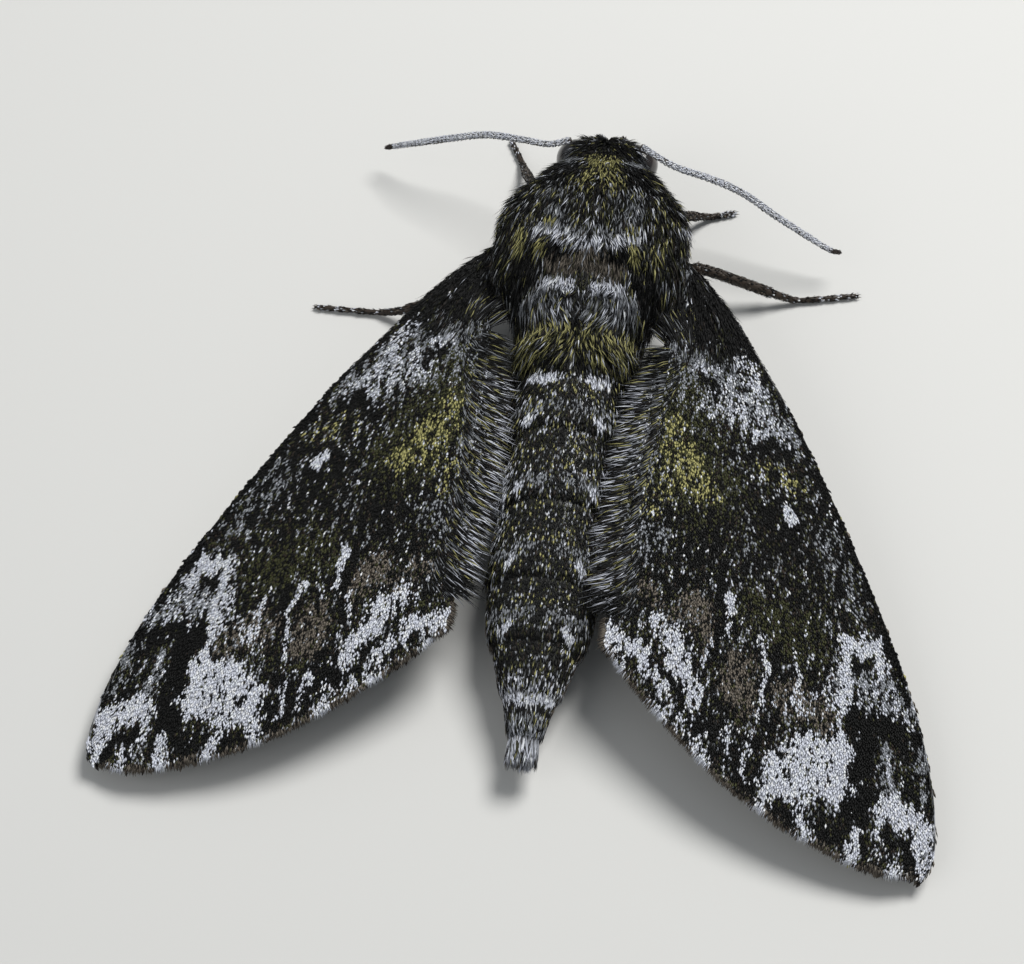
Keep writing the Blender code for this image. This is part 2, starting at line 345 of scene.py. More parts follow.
SCALE = Blade(((0.62, 1.0),), True)
HAIR = Blade(((0.0, 0.6), (0.5, 1.0)), False)
STRAND = Blade(((0.0, 0.6), (0.38, 1.0), (0.72, 0.75)), False)


@dataclass
class Roots:
    """Where the blades of one coat are rooted and which way each lies."""

    place: Array
    normal: Array
    lie: Array
    bake: Array


@dataclass
class Growth:
    """Sizes and colours of the blades, one value for each root."""

    length: Array
    width: Array
    lift: Array
    bend: Array
    curl: Array
    root_colour: Array
    tip_colour: Array
    thickness: float = 0.22
    clump: Array | None = None
    gather: float = 0.0


def tip_pull(roots: Roots, growth: Growth) -> Array:
    """How far each tip is drawn toward the others of its lock.

    Args:
        roots: the roots of the coat.
        growth: the sizes of its blades, with the lock of each.

    Returns:
        A vector for each blade, in mm.
    """
    if growth.clump is None:
        return np.zeros_like(roots.place)
    tips = roots.place + roots.lie * growth.length[:, None]
    _, lock = np.unique(growth.clump, return_inverse=True)
    number = np.bincount(lock)
    middle = np.stack([np.bincount(lock, tips[:, k]) / number for k in range(3)], axis=1)
    pull = (middle[lock] - tips) * growth.gather
    return pull - roots.normal * np.sum(pull * roots.normal, axis=1, keepdims=True)


def coat_mesh(name: str, blade: Blade, roots: Roots, growth: Growth, plan: Plan) -> bpy.types.Mesh:
    """Join all the blades of a coat into one mesh with its tints and its bake map.

    Args:
        name: name of the mesh.
        blade: the shape of each blade.
        roots: where they grow.
        growth: their sizes and colours.
        plan: the moth's axes in the frame.

    Returns:
        The mesh, in metres in the frame.
    """
    points, faces = blade.template()
    s, across, up = points[:, 0], points[:, 1], points[:, 2]
    side = unit(np.cross(roots.lie, roots.normal))
    lift, bend = np.radians(growth.lift)[:, None], growth.bend[:, None]
    forward = s * np.cos(lift)
    rise = s * np.sin(lift) - bend * s**2
    length, width = growth.length[:, None], growth.width[:, None]
    spine = (
        (length * forward)[..., None] * roots.lie[:, None]
        + (length * rise + width * growth.thickness * up)[..., None] * roots.normal[:, None]
        + (width * across + length * growth.curl[:, None] * s**2)[..., None] * side[:, None]
        + (s**2)[None, :, None] * tip_pull(roots, growth)[:, None]
    )
    corners = plan.metres(roots.place[:, None] + spine).reshape(-1, 3)
    count = len(roots.place)
    index = (faces[None] + (np.arange(count) * len(points))[:, None, None]).reshape(-1, 3)
    mesh = bpy.data.meshes.new(name)
    mesh.vertices.add(len(corners))
    mesh.vertices.foreach_set("co", corners.astype(np.float32).ravel())
    mesh.loops.add(index.size)
    mesh.loops.foreach_set("vertex_index", index.astype(np.int32).ravel())
    mesh.polygons.add(len(index))
    mesh.polygons.foreach_set("loop_start", np.arange(0, index.size, 3, dtype=np.int32))
    mesh.update(calc_edges=True)
    fade = (s**0.7)[None, :, None]
    tint = growth.root_colour[:, None] * (1 - fade) + growth.tip_colour[:, None] * fade
    set_tint(mesh, tint.reshape(-1, 3))
    patch = np.stack([across, s - 0.5], axis=1) * BAKE_PATCH
    bake = (roots.bake[:, None] + patch[None]).reshape(-1, 2)[index.ravel()]
    layer = mesh.uv_layers.new(name=BAKE_MAP)
    layer.data.foreach_set("uv", bake.astype(np.float32).ravel())
    return mesh


def set_tint(mesh: bpy.types.Mesh, colours: Array) -> None:
    """Write one colour for each vertex.

    Args:
        mesh: the mesh that takes them.
        colours: rows of linear red, green and blue.
    """
    layer = mesh.color_attributes.new(name=TINT, type="FLOAT_COLOR", domain="POINT")
    full = np.concatenate([colours, np.ones((len(colours), 1))], axis=1)
    layer.data.foreach_set("color", full.astype(np.float32).ravel())


@dataclass
class SkinGrid:
    """A skin as rows of points; a closed one joins its last column to its first."""

    points: Array
    closed: bool

    def __post_init__(self) -> None:
        """Work out the directions along and across the skin."""
        self.along = np.gradient(self.points, axis=0)
        if self.closed:
            after, before = np.roll(self.points, -1, axis=1), np.roll(self.points, 1, axis=1)
            self.across = (after - before) / 2
        else:
            self.across = np.gradient(self.points, axis=1)

    def sample(self, row: Array, column: Array) -> tuple[Array, Array, Array]:
        """Place, unit direction along the rows and outward normal at places on the skin.

        Args:
            row: row numbers, with fractions.
            column: column numbers, with fractions.

        Returns:
            Three arrays of vectors.
        """
        rows, columns = self.points.shape[:2]
        i = np.clip(np.floor(row).astype(int), 0, rows - 2)
        j = np.floor(column).astype(int)
        if not self.closed:
            j = np.clip(j, 0, columns - 2)
        s, t = (row - i)[:, None], (column - j)[:, None]
        j, k = j % columns, (j + 1) % columns

        def mixed(field: Array) -> Array:
            near = field[i, j] * (1 - t) + field[i, k] * t
            far = field[i + 1, j] * (1 - t) + field[i + 1, k] * t
            return near * (1 - s) + far * s

        along, across = mixed(self.along), mixed(self.across)
        return mixed(self.points), unit(along), unit(np.cross(across, along))

    def area(self, row: Array, column: Array) -> Array:
        """Area of skin for each cell of the grid at the given places."""
        i = np.clip(np.rint(row).astype(int), 0, self.points.shape[0] - 1)
        j = np.rint(column).astype(int) % self.points.shape[1]
        return np.linalg.norm(np.cross(self.along[i, j], self.across[i, j]), axis=1)

    def shape(self, plan: Plan) -> bmesh.types.BMesh:
        """Make the skin's mesh by laying a flat grid onto the rows of points.

        Args:
            plan: the moth's axes in the frame.

        Returns:
            A bmesh in metres, closed at both ends if the grid is closed.
        """
        rows, columns = self.points.shape[:2]
        wide = columns if self.closed else columns - 1
        made = bmesh.new()
        bmesh.ops.create_grid(made, x_segments=wide, y_segments=rows - 1, size=1)
        places = plan.metres(self.points)
        for vert in made.verts:
            column = round((vert.co.x + 1) / 2 * wide)
            row = round((vert.co.y + 1) / 2 * (rows - 1))
            vert.co = Vector(places[row, column % columns])
        if self.closed:
            bmesh.ops.remove_doubles(made, verts=made.verts, dist=1e-7)
            bmesh.ops.holes_fill(made, edges=made.edges, sides=0)
            bmesh.ops.recalc_face_normals(made, faces=made.faces)
        return made


def swept(rows: Array, sides: int) -> SkinGrid:
    """Carry a round section along rows of place and radius.

    Args:
        rows: x, y, z and radius of each section.
        sides: points round each section; the first lies on top.

    Returns:
        The skin as a closed grid.
    """
    centres = rows[:, :3]
    ahead = unit(np.gradient(centres, axis=0))
    top = np.zeros_like(centres)
    guide = np.array((0.0, 0.0, 1.0))
    for i, direction in enumerate(ahead):
        guide = unit(guide - direction * (guide @ direction))
        top[i] = guide
    other = np.cross(ahead, top)
    angles = np.linspace(0, math.tau, sides, endpoint=False)
    cosine, sine = np.cos(angles)[None, :, None], np.sin(angles)[None, :, None]
    ring = cosine * top[:, None] + sine * other[:, None]
    return SkinGrid(centres[:, None] + ring * rows[:, 3][:, None, None], True)


def add_node(
    tree: bpy.types.NodeTree, kind: str, settings: dict | None = None, links: dict | None = None
) -> bpy.types.Node:
    """Add a node with its settings and incoming links.

    Args:
        tree: the material's node tree.
        kind: type of the node.
        settings: attribute names, or socket names and numbers, with their values.
        links: socket names or numbers with the output that feeds each.

    Returns:
        The node.
    """
    node = tree.nodes.new(kind)
    for key, value in (settings or {}).items():
        if isinstance(key, str) and hasattr(node, key):
            setattr(node, key, value)
        else:
            node.inputs[key].default_value = value
    for key, output in (links or {}).items():
        tree.links.new(output, node.inputs[key])
    return node


@dataclass(frozen=True)
class TintedFinish:
    """A finish whose colour is carried scale by scale, with a fine relief of its own."""

    name: str
    roughness: float
    sheen: float
    ridge_mm: float
    relief_mm: float
    bump: float
    coat: float = 0.0
    specular: float = 0.2

    def material(self) -> bpy.types.Material:
        """Make the material once and give it back after that."""
        found = bpy.data.materials.get(self.name)
        if found:
            return found
        made = bpy.data.materials.new(self.name)
        made.use_nodes = True
        tree = made.node_tree
        shader = tree.nodes["Principled BSDF"]
        shader.inputs["Roughness"].default_value = self.roughness
        shader.inputs["Specular IOR Level"].default_value = self.specular
        shader.inputs["Sheen Weight"].default_value = self.sheen
        shader.inputs["Sheen Roughness"].default_value = 0.45
        shader.inputs["Coat Weight"].default_value = self.coat
        tint = add_node(tree, "ShaderNodeVertexColor", {"layer_name": TINT})
        where = add_node(tree, "ShaderNodeTexCoord")
        ridges = add_node(
            tree,
            "ShaderNodeTexNoise",
            {"Scale": 1 / (self.ridge_mm * MM), "Detail": 3.0, "Roughness": 0.6},
            {"Vector": where.outputs["Object"]},
        )
        shade = add_node(
            tree,
            "ShaderNodeMapRange",
            {"To Min": 0.72, "To Max": 1.25},
            {"Value": ridges.outputs["Fac"]},
        )
        colour = add_node(
            tree,
            "ShaderNodeVectorMath",
            {"operation": "SCALE"},
            {0: tint.outputs["Color"], "Scale": shade.outputs["Result"]},
        )
        bump = add_node(
            tree,
            "ShaderNodeBump",
            {"Strength": self.bump, "Distance": self.relief_mm * MM},
            {"Height": ridges.outputs["Fac"]},
        )
        tree.links.new(colour.outputs["Vector"], shader.inputs["Base Color"])
        tree.links.new(bump.outputs["Normal"], shader.inputs["Normal"])
        return made


# Wing and body scales: ribbed chitin plates with pigment, dusty and matt with a faint silk.
WING_SCALES = TintedFinish("pigmented_wing_scales", 0.62, 0.0, 0.09, 0.02, 0.5)
# Hair scales of the body: finer and softer, with a pale bloom at grazing angles.
BODY_HAIR = TintedFinish("body_hair_scales", 0.55, 0.03, 0.12, 0.02, 0.4)
# Cuticle under the coat: dark sclerotised chitin, satin and finely pitted.
CUTICLE = TintedFinish("sclerotised_cuticle", 0.45, 0.0, 0.25, 0.04, 0.6, 0.15)
# Wing membrane: thin tanned chitin between the veins, satin, stained like the scales on it.
MEMBRANE = TintedFinish("wing_membrane", 0.5, 0.0, 0.35, 0.03, 0.4)
# Scales of the feelers: dense, chalk white and matt.
FEELER_SCALES = TintedFinish("feeler_scales", 0.66, 0.1, 0.08, 0.01, 0.4)


@dataclass(frozen=True)
class FacetedEye:
    """Compound eye: clear domed lenses over dark pigment, glossy with a fine hexagonal grain."""

    name: str = "compound_eye"
    dark: str = "0d0906"
    glow: str = "24160f"
    facet_mm: float = 0.11  # real ones are 0.03 mm, too fine to show

    def material(self) -> bpy.types.Material:
        """Make the material once and give it back after that."""
        found = bpy.data.materials.get(self.name)
        if found:
            return found
        made = bpy.data.materials.new(self.name)
        made.use_nodes = True
        tree = made.node_tree
        shader = tree.nodes["Principled BSDF"]
        shader.inputs["Roughness"].default_value = 0.16
        shader.inputs["IOR"].default_value = 1.56
        shader.inputs["Coat Weight"].default_value = 0.6
        shader.inputs["Coat Roughness"].default_value = 0.08
        where = add_node(tree, "ShaderNodeTexCoord")
        facets = add_node(
            tree,
            "ShaderNodeTexVoronoi",
            {"feature": "F1", "Scale": 1 / (self.facet_mm * MM), "Randomness": 0.15},
            {"Vector": where.outputs["Object"]},
        )
        cloud = add_node(
            tree,
            "ShaderNodeTexNoise",
            {"Scale": 1 / (1.1 * MM), "Detail": 2.0},
            {"Vector": where.outputs["Object"]},
        )
        ramp = add_node(tree, "ShaderNodeValToRGB", None, {"Fac": cloud.outputs["Fac"]})
        ramp.color_ramp.elements[0].color = (*linear(self.dark), 1.0)
        ramp.color_ramp.elements[1].color = (*linear(self.glow), 1.0)
        ramp.color_ramp.elements[0].position = 0.42
        ramp.color_ramp.elements[1].position = 0.85
        bump = add_node(
            tree,
            "ShaderNodeBump",
            {"Strength": 0.35, "Distance": 0.02 * MM, "invert": True},
            {"Height": facets.outputs["Distance"]},
        )
        tree.links.new(ramp.outputs["Color"], shader.inputs["Base Color"])
        tree.links.new(bump.outputs["Normal"], shader.inputs["Normal"])
        return made


@dataclass(frozen=True)
class HornFinish:
    """Bare horn-like chitin of tongue, claws and spurs: satin, with a fine grain of darker and
    lighter patches.
    """

    name: str
    light: str
    dark: str
    roughness: float
    grain_mm: float

    def material(self) -> bpy.types.Material:
        """Make the material once and give it back after that."""
        found = bpy.data.materials.get(self.name)
        if found:
            return found
        made = bpy.data.materials.new(self.name)
        made.use_nodes = True
        tree = made.node_tree
        shader = tree.nodes["Principled BSDF"]
        shader.inputs["Roughness"].default_value = self.roughness
        shader.inputs["IOR"].default_value = 1.55
        where = add_node(tree, "ShaderNodeTexCoord")
        grain = add_node(
            tree,
            "ShaderNodeTexNoise",
            {"Scale": 1 / (self.grain_mm * MM), "Detail": 3.0},
            {"Vector": where.outputs["Object"]},
        )
        ramp = add_node(tree, "ShaderNodeValToRGB", None, {"Fac": grain.outputs["Fac"]})
        ramp.color_ramp.elements[0].color = (*linear(self.dark), 1.0)
        ramp.color_ramp.elements[1].color = (*linear(self.light), 1.0)
        bump = add_node(
            tree,
            "ShaderNodeBump",
            {"Strength": 0.3, "Distance": 0.02 * MM},
            {"Height": grain.outputs["Fac"]},
        )
        tree.links.new(ramp.outputs["Color"], shader.inputs["Base Color"])
        tree.links.new(bump.outputs["Normal"], shader.inputs["Normal"])
        return made


TONGUE_HORN = HornFinish("tongue_horn", "8a5a30", "4a2c16", 0.38, 0.2)
CLAW_HORN = HornFinish("claw_horn", "3a2a1c", "120d09", 0.3, 0.15)

Finish = TintedFinish | FacetedEye | HornFinish


def set_out(
    mesh: bpy.types.Mesh, finish: Finish, smooth: bool = True
) -> bpy.types.Object:
    """Put a mesh into the scene as a piece that goes with the moth's body.

    Args:
        mesh: the mesh, in metres in the frame; the piece takes its name.
        finish: the finish it wears.
        smooth: whether its faces are shaded smooth.

    Returns:
        The piece.
    """
    if smooth:
        mesh.shade_smooth()
    mesh.materials.append(finish.material())
    piece = bpy.data.objects.new(mesh.name, mesh)
    bpy.context.scene.collection.objects.link(piece)
    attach(piece, "root")
    LOG.info("%s: %d faces", mesh.name, len(mesh.polygons))
    return piece


def mesh_of(name: str, shape: bmesh.types.BMesh) -> bpy.types.Mesh:
    """Turn a bmesh into a mesh of triangles and free it."""
    bmesh.ops.triangulate(shape, faces=[face for face in shape.faces if len(face.verts) > 4])
    mesh = bpy.data.meshes.new(name)
    shape.to_mesh(mesh)
    shape.free()
    return mesh


def vertex_places(mesh: bpy.types.Mesh, plan: Plan) -> Array:
    """The mesh's vertices on the moth's axes."""
    found = np.empty(len(mesh.vertices) * 3, np.float32)
    mesh.vertices.foreach_get("co", found)
    return plan.own(found.reshape(-1, 3).astype(float))


def toned(index: Array, seed: int, low: float = 0.7, high: float = 1.25) -> Array:
    """Colours of the picked tints with a little difference from scale to scale."""
    tone = np.random.default_rng(seed).uniform(low, high, len(index))
    return np.clip(TINT_COLOURS[index] * tone[:, None], 0.0, 0.9)


class Side(Enum):
    """The moth's own sides, as the sign of x."""

    LEFT = 1
    RIGHT = -1

    @property
    def word(self) -> str:
        """The word used in names."""
        return self.name.lower()


# Wing outlines of the left side, as in the solids: both edges run from root to tip.
FOREWING_FRONT = (
    (7.4, -13.0), (9.4, -11.4), (12.2, -8.5), (18.0, -0.3), (24.6, 11.1),
    (29.3, 20.6), (31.4, 26.8), (32.1, 30.8), (32.1, 33.0), (31.6, 34.1),
)
FOREWING_REAR = (
    (7.3, -7.6), (6.6, -3.0), (5.7, 2.0), (5.35, 8.0), (5.5, 14.0), (5.85, 19.0), (6.3, 22.1),
    (8.6, 24.6), (11.4, 27.0), (15.7, 30.2), (20.7, 32.8), (25.9, 34.5), (29.2, 34.9),
    (31.0, 34.5),
)
HINDWING_FRONT = ((7.3, -6.0), (12.3, 0.5), (17.4, 8.5), (20.6, 16.0), (21.6, 20.6))
HINDWING_REAR = (
    (6.6, -3.0), (5.9, 3.0), (5.8, 8.5), (6.3, 13.5), (8.4, 17.6), (12.5, 20.6), (16.6, 22.2),
    (20.2, 22.7),
)
WING_PIVOT = (8.5, -10.0)
WING_SWING = {Side.LEFT: 1.4, Side.RIGHT: -1.4}
FOREWING_VEINS = (
    ((8.6, -11.0), (24.6, 12.6)), ((8.8, -10.0), (18.6, 6.6)), ((8.3, -9.0), (15.6, 8.0)),
    ((18.6, 6.6), (15.6, 8.0)), ((18.6, 6.6), (27.6, 19.0)), ((19.5, 8.6), (30.6, 30.0)),
    ((18.3, 7.0), (28.0, 33.8)), ((17.1, 7.6), (24.0, 33.4)), ((15.8, 8.0), (19.4, 31.6)),
    ((14.6, 5.4), (15.0, 29.0)), ((12.4, 0.6), (10.8, 25.8)), ((7.9, -8.0), (6.6, 21.6)),
)
HINDWING_VEINS = (
    ((7.4, -5.0), (20.6, 17.6)), ((7.6, -4.0), (13.6, 6.4)), ((13.6, 6.4), (19.0, 21.6)),
    ((13.0, 6.6), (15.6, 21.4)), ((12.0, 5.4), (12.0, 19.8)), ((10.0, 1.4), (8.8, 17.4)),
    ((7.2, -4.0), (6.4, 12.6)),
)
B, U, O, S, D, G, W, A = TINTS
FOREWING_MARKS = (
    # Base and the pale band beyond it.
    Mark(B, (7.5, -9.8), (12.0, -6.6), 2.6, 0.75, 1.6),
    Mark(G, (8.6, -2.6), (16.4, 0.4), 2.5, 0.38, 2.4),
    Mark(W, (12.4, -1.0), (16.2, 1.2), 1.4, 0.36, 1.4),
    Mark(G, (9.0, -3.6), (12.2, -3.8), 0.8, 0.55, 0.8),
    Mark(W, (9.8, -3.6), (11.3, -3.4), 0.4, 0.6, 0.5),
    Mark(W, (13.0, -4.8), (14.4, -2.4), 0.6, 0.5, 0.8),
    Mark(B, (10.6, -2.6), (11.4, -1.8), 0.55, 0.9, 0.4),
    Mark(G, (7.3, -12.0), (7.9, -10.8), 0.5, 0.6, 0.4),
    # Olive field toward the inner margin.
    Mark(O, (8.0, 0.0), (12.0, 8.0), 2.8, 0.4, 2.0),
    Mark(S, (8.4, 2.4), (9.4, 6.4), 1.0, 0.3, 1.6),
    Mark(S, (10.0, 4.4), (11.8, 7.4), 0.8, 0.45, 1.2),
    Mark(G, (6.0, -4.0), (6.8, 7.5), 0.9, 0.5, 1.0),
    Mark(W, (6.4, -2.0), (6.4, 6.0), 0.5, 0.3, 0.8),
    # Dark middle field with the white dot at the end of the cell.
    Mark(B, (15.0, 3.0), (17.4, 2.5), 0.85, 0.9, 0.6),
    Mark(S, (16.4, 4.4), (19.0, 5.0), 0.9, 0.16, 1.2),
    Mark(B, (10.0, 12.0), (21.0, 9.0), 3.2, 0.45, 3.0),
    Mark(G, (6.6, 11.0), (8.2, 12.2), 1.3, 0.4, 1.4),
    Mark(S, (6.4, 7.6), (8.2, 8.6), 1.2, 0.25, 1.4),
    Mark(G, (21.6, 9.0), (24.2, 13.6), 1.2, 0.3, 1.2),
    Mark(B, (22.4, 10.4), (22.9, 13.0), 0.3, 0.9, 0.3),
    Mark(B, (18.0, 7.4), (18.8, 8.6), 0.95, 0.7, 0.7),
    Mark(W, (18.2, 7.7), (18.7, 8.2), 0.45, 1.0, 0.3),
    Mark(G, (14.8, 8.0), (16.6, 14.0), 0.12, 0.6, 0.2),
    # Streaked field beyond the middle.
    Mark(D, (12.2, 16.8), (13.5, 18.8), 0.9, 0.55, 0.9),
    Mark(D, (8.4, 16.4), (10.4, 17.8), 0.9, 0.4, 1.0),
    Mark(O, (17.0, 16.0), (20.6, 17.6), 1.8, 0.45, 1.6),
    Mark(B, (14.3, 14.2), (14.5, 20.6), 0.28, 0.9, 0.25),
    Mark(W, (15.0, 15.3), (14.8, 18.6), 0.26, 0.85, 0.3),
    Mark(W, (13.9, 19.0), (13.7, 21.0), 0.18, 0.6, 0.25),
    Mark(B, (18.9, 18.4), (18.8, 22.4), 0.32, 0.85, 0.3),
    Mark(W, (17.4, 18.4), (18.2, 20.6), 0.28, 0.85, 0.3),
    Mark(W, (18.2, 20.6), (18.1, 24.4), 0.22, 0.8, 0.3),
    Mark(W, (20.2, 19.6), (21.1, 23.4), 0.26, 0.7, 0.3),
    Mark(D, (16.0, 21.0), (16.6, 23.6), 1.1, 0.6, 0.9),
    Mark(D, (20.0, 22.2), (22.6, 23.4), 1.2, 0.45, 1.0),
    Mark(W, (20.8, 22.8), (23.0, 21.8), 0.8, 0.35, 0.8),
    # White ring below the front edge and the frosted field beyond it.
    Mark(W, (24.4, 20.3), (29.0, 21.4), 1.5, 0.5, 1.4),
    Mark(G, (25.0, 20.0), (29.4, 21.0), 1.4, 0.4, 1.4),
    Mark(W, (24.1, 17.2), (26.3, 16.7), 0.7, 0.85, 0.5),
    Mark(W, (26.3, 17.0), (26.9, 19.0), 0.5, 0.9, 0.4),
    Mark(W, (24.1, 17.4), (24.2, 23.8), 0.35, 0.7, 0.4),
    Mark(B, (25.1, 18.3), (25.5, 18.7), 0.4, 0.9, 0.3),
    Mark(B, (25.2, 22.5), (29.8, 23.7), 0.75, 0.9, 0.6),
    Mark(B, (25.8, 23.0), (26.1, 30.6), 0.9, 0.93, 0.5),
    Mark(G, (27.6, 25.0), (28.3, 28.4), 0.55, 0.75, 0.5),
    Mark(W, (27.9, 25.4), (28.2, 27.6), 0.22, 0.6, 0.3),
    Mark(B, (29.3, 24.8), (30.2, 28.8), 0.4, 0.7, 0.4),
    Mark(G, (30.2, 24.2), (31.2, 28.0), 0.42, 0.6, 0.4),
    # White tip with its black hook.
    Mark(W, (28.2, 29.2), (31.2, 30.3), 1.0, 0.85, 0.6),
    Mark(W, (31.2, 30.3), (31.4, 33.0), 0.7, 0.85, 0.5),
    Mark(W, (27.8, 30.2), (27.9, 31.8), 0.35, 0.6, 0.4),
    Mark(B, (28.2, 31.3), (30.0, 31.4), 0.33, 0.97, 0.2),
    Mark(B, (30.0, 31.4), (30.8, 33.4), 0.3, 0.97, 0.2),
    Mark(W, (29.0, 32.6), (29.5, 33.8), 0.5, 0.6, 0.5),
    # Large white patch.
    Mark(W, (20.9, 26.4), (24.2, 25.8), 0.85, 0.85, 0.6),
    Mark(W, (20.4, 28.3), (24.0, 28.2), 1.5, 0.85, 0.7),
    Mark(W, (18.9, 29.2), (20.6, 28.7), 0.6, 0.9, 0.5),
    Mark(W, (24.4, 24.4), (24.6, 30.2), 0.35, 0.92, 0.35),
    Mark(W, (21.5, 30.0), (22.0, 31.6), 0.45, 0.7, 0.6),
    Mark(B, (19.8, 27.2), (20.8, 28.0), 0.3, 0.6, 0.3),
    Mark(B, (17.6, 31.0), (26.0, 32.2), 0.7, 0.7, 0.8),
    # White and speckled field at the inner angle.
    Mark(W, (6.3, 20.3), (8.8, 21.1), 0.8, 0.85, 0.5),
    Mark(W, (9.8, 18.6), (11.4, 20.2), 0.9, 0.72, 0.9),
    Mark(W, (11.2, 20.6), (13.8, 24.0), 0.6, 0.8, 0.6),
    Mark(W, (8.8, 21.8), (10.6, 23.0), 0.5, 0.75, 0.5),
    Mark(B, (10.8, 21.9), (12.0, 23.3), 0.55, 0.85, 0.4),
    Mark(W, (11.4, 24.4), (14.0, 27.6), 1.2, 0.35, 1.4),
    Mark(B, (12.6, 24.8), (13.8, 26.0), 0.5, 0.85, 0.5),
    Mark(B, (14.8, 25.4), (17.6, 28.8), 1.3, 0.75, 0.9),
    Mark(W, (15.7, 25.6), (16.1, 28.2), 0.25, 0.6, 0.3),
    Mark(W, (17.4, 26.4), (17.6, 29.0), 0.25, 0.55, 0.3),
    # White wedges that run out into the fringe.
    Mark(W, (11.0, 25.2), (11.0, 26.2), 0.3, 0.8, 0.3),
    Mark(W, (14.5, 28.4), (14.4, 29.8), 0.45, 0.8, 0.4),
    Mark(W, (19.0, 30.2), (19.0, 32.0), 0.5, 0.85, 0.4),
    Mark(W, (22.4, 31.4), (22.6, 33.2), 0.45, 0.8, 0.4),
    Mark(W, (26.0, 31.6), (26.1, 34.0), 0.45, 0.8, 0.4),
    # Dark front edge.
    Mark(B, (10.0, -10.4), (18.0, -0.6), 0.42, 0.7, 0.3),
    Mark(B, (18.0, -0.6), (24.4, 11.0), 0.5, 0.75, 0.35),
    Mark(B, (24.4, 11.0), (29.0, 20.4), 0.42, 0.7, 0.35),
)
FOREWING_ABOVE = Pattern({B: 0.6, U: 0.1, O: 0.17, G: 0.09, W: 0.04}, FOREWING_MARKS, 11)
FOREWING_BELOW = Pattern(
    {D: 0.5, U: 0.3, G: 0.15, S: 0.05},
    (
        Mark(G, (8.0, -8.0), (12.0, 4.0), 3.0, 0.5, 3.0),
        Mark(U, (7.0, 12.0), (24.0, 14.0), 1.0, 0.7, 1.0),
        Mark(U, (8.0, 18.0), (27.0, 21.0), 0.8, 0.7, 0.8),
        Mark(G, (12.0, 24.0), (28.0, 29.0), 1.2, 0.4, 1.4),
        Mark(U, (8.0, 23.0), (30.0, 33.6), 0.8, 0.7, 0.8),
    ),
    23,
)
HINDWING_ABOVE = Pattern(
    {B: 0.55, U: 0.3, G: 0.15},
    (
        Mark(W, (7.4, -2.0), (8.6, 3.0), 1.6, 0.6, 1.6),
        Mark(G, (7.0, 7.0), (16.0, 9.6), 0.8, 0.65, 0.9),
        Mark(G, (7.2, 11.6), (18.6, 14.6), 0.7, 0.6, 0.8),
        Mark(W, (7.4, 15.0), (10.4, 17.8), 0.7, 0.6, 0.8),
        Mark(D, (10.0, 17.0), (19.6, 19.4), 1.2, 0.6, 1.2),
    ),
    31,
)
HINDWING_BELOW = Pattern(
    {G: 0.42, D: 0.38, W: 0.2},
    (
        Mark(W, (7.4, -3.0), (8.8, 9.0), 1.6, 0.55, 1.8),
        Mark(U, (6.8, 8.0), (17.0, 11.0), 0.45, 0.75, 0.6),
        Mark(U, (7.0, 12.0), (18.8, 15.6), 0.45, 0.75, 0.6),
        Mark(D, (9.0, 17.0), (20.0, 20.4), 1.1, 0.7, 1.0),
    ),
    37,
)


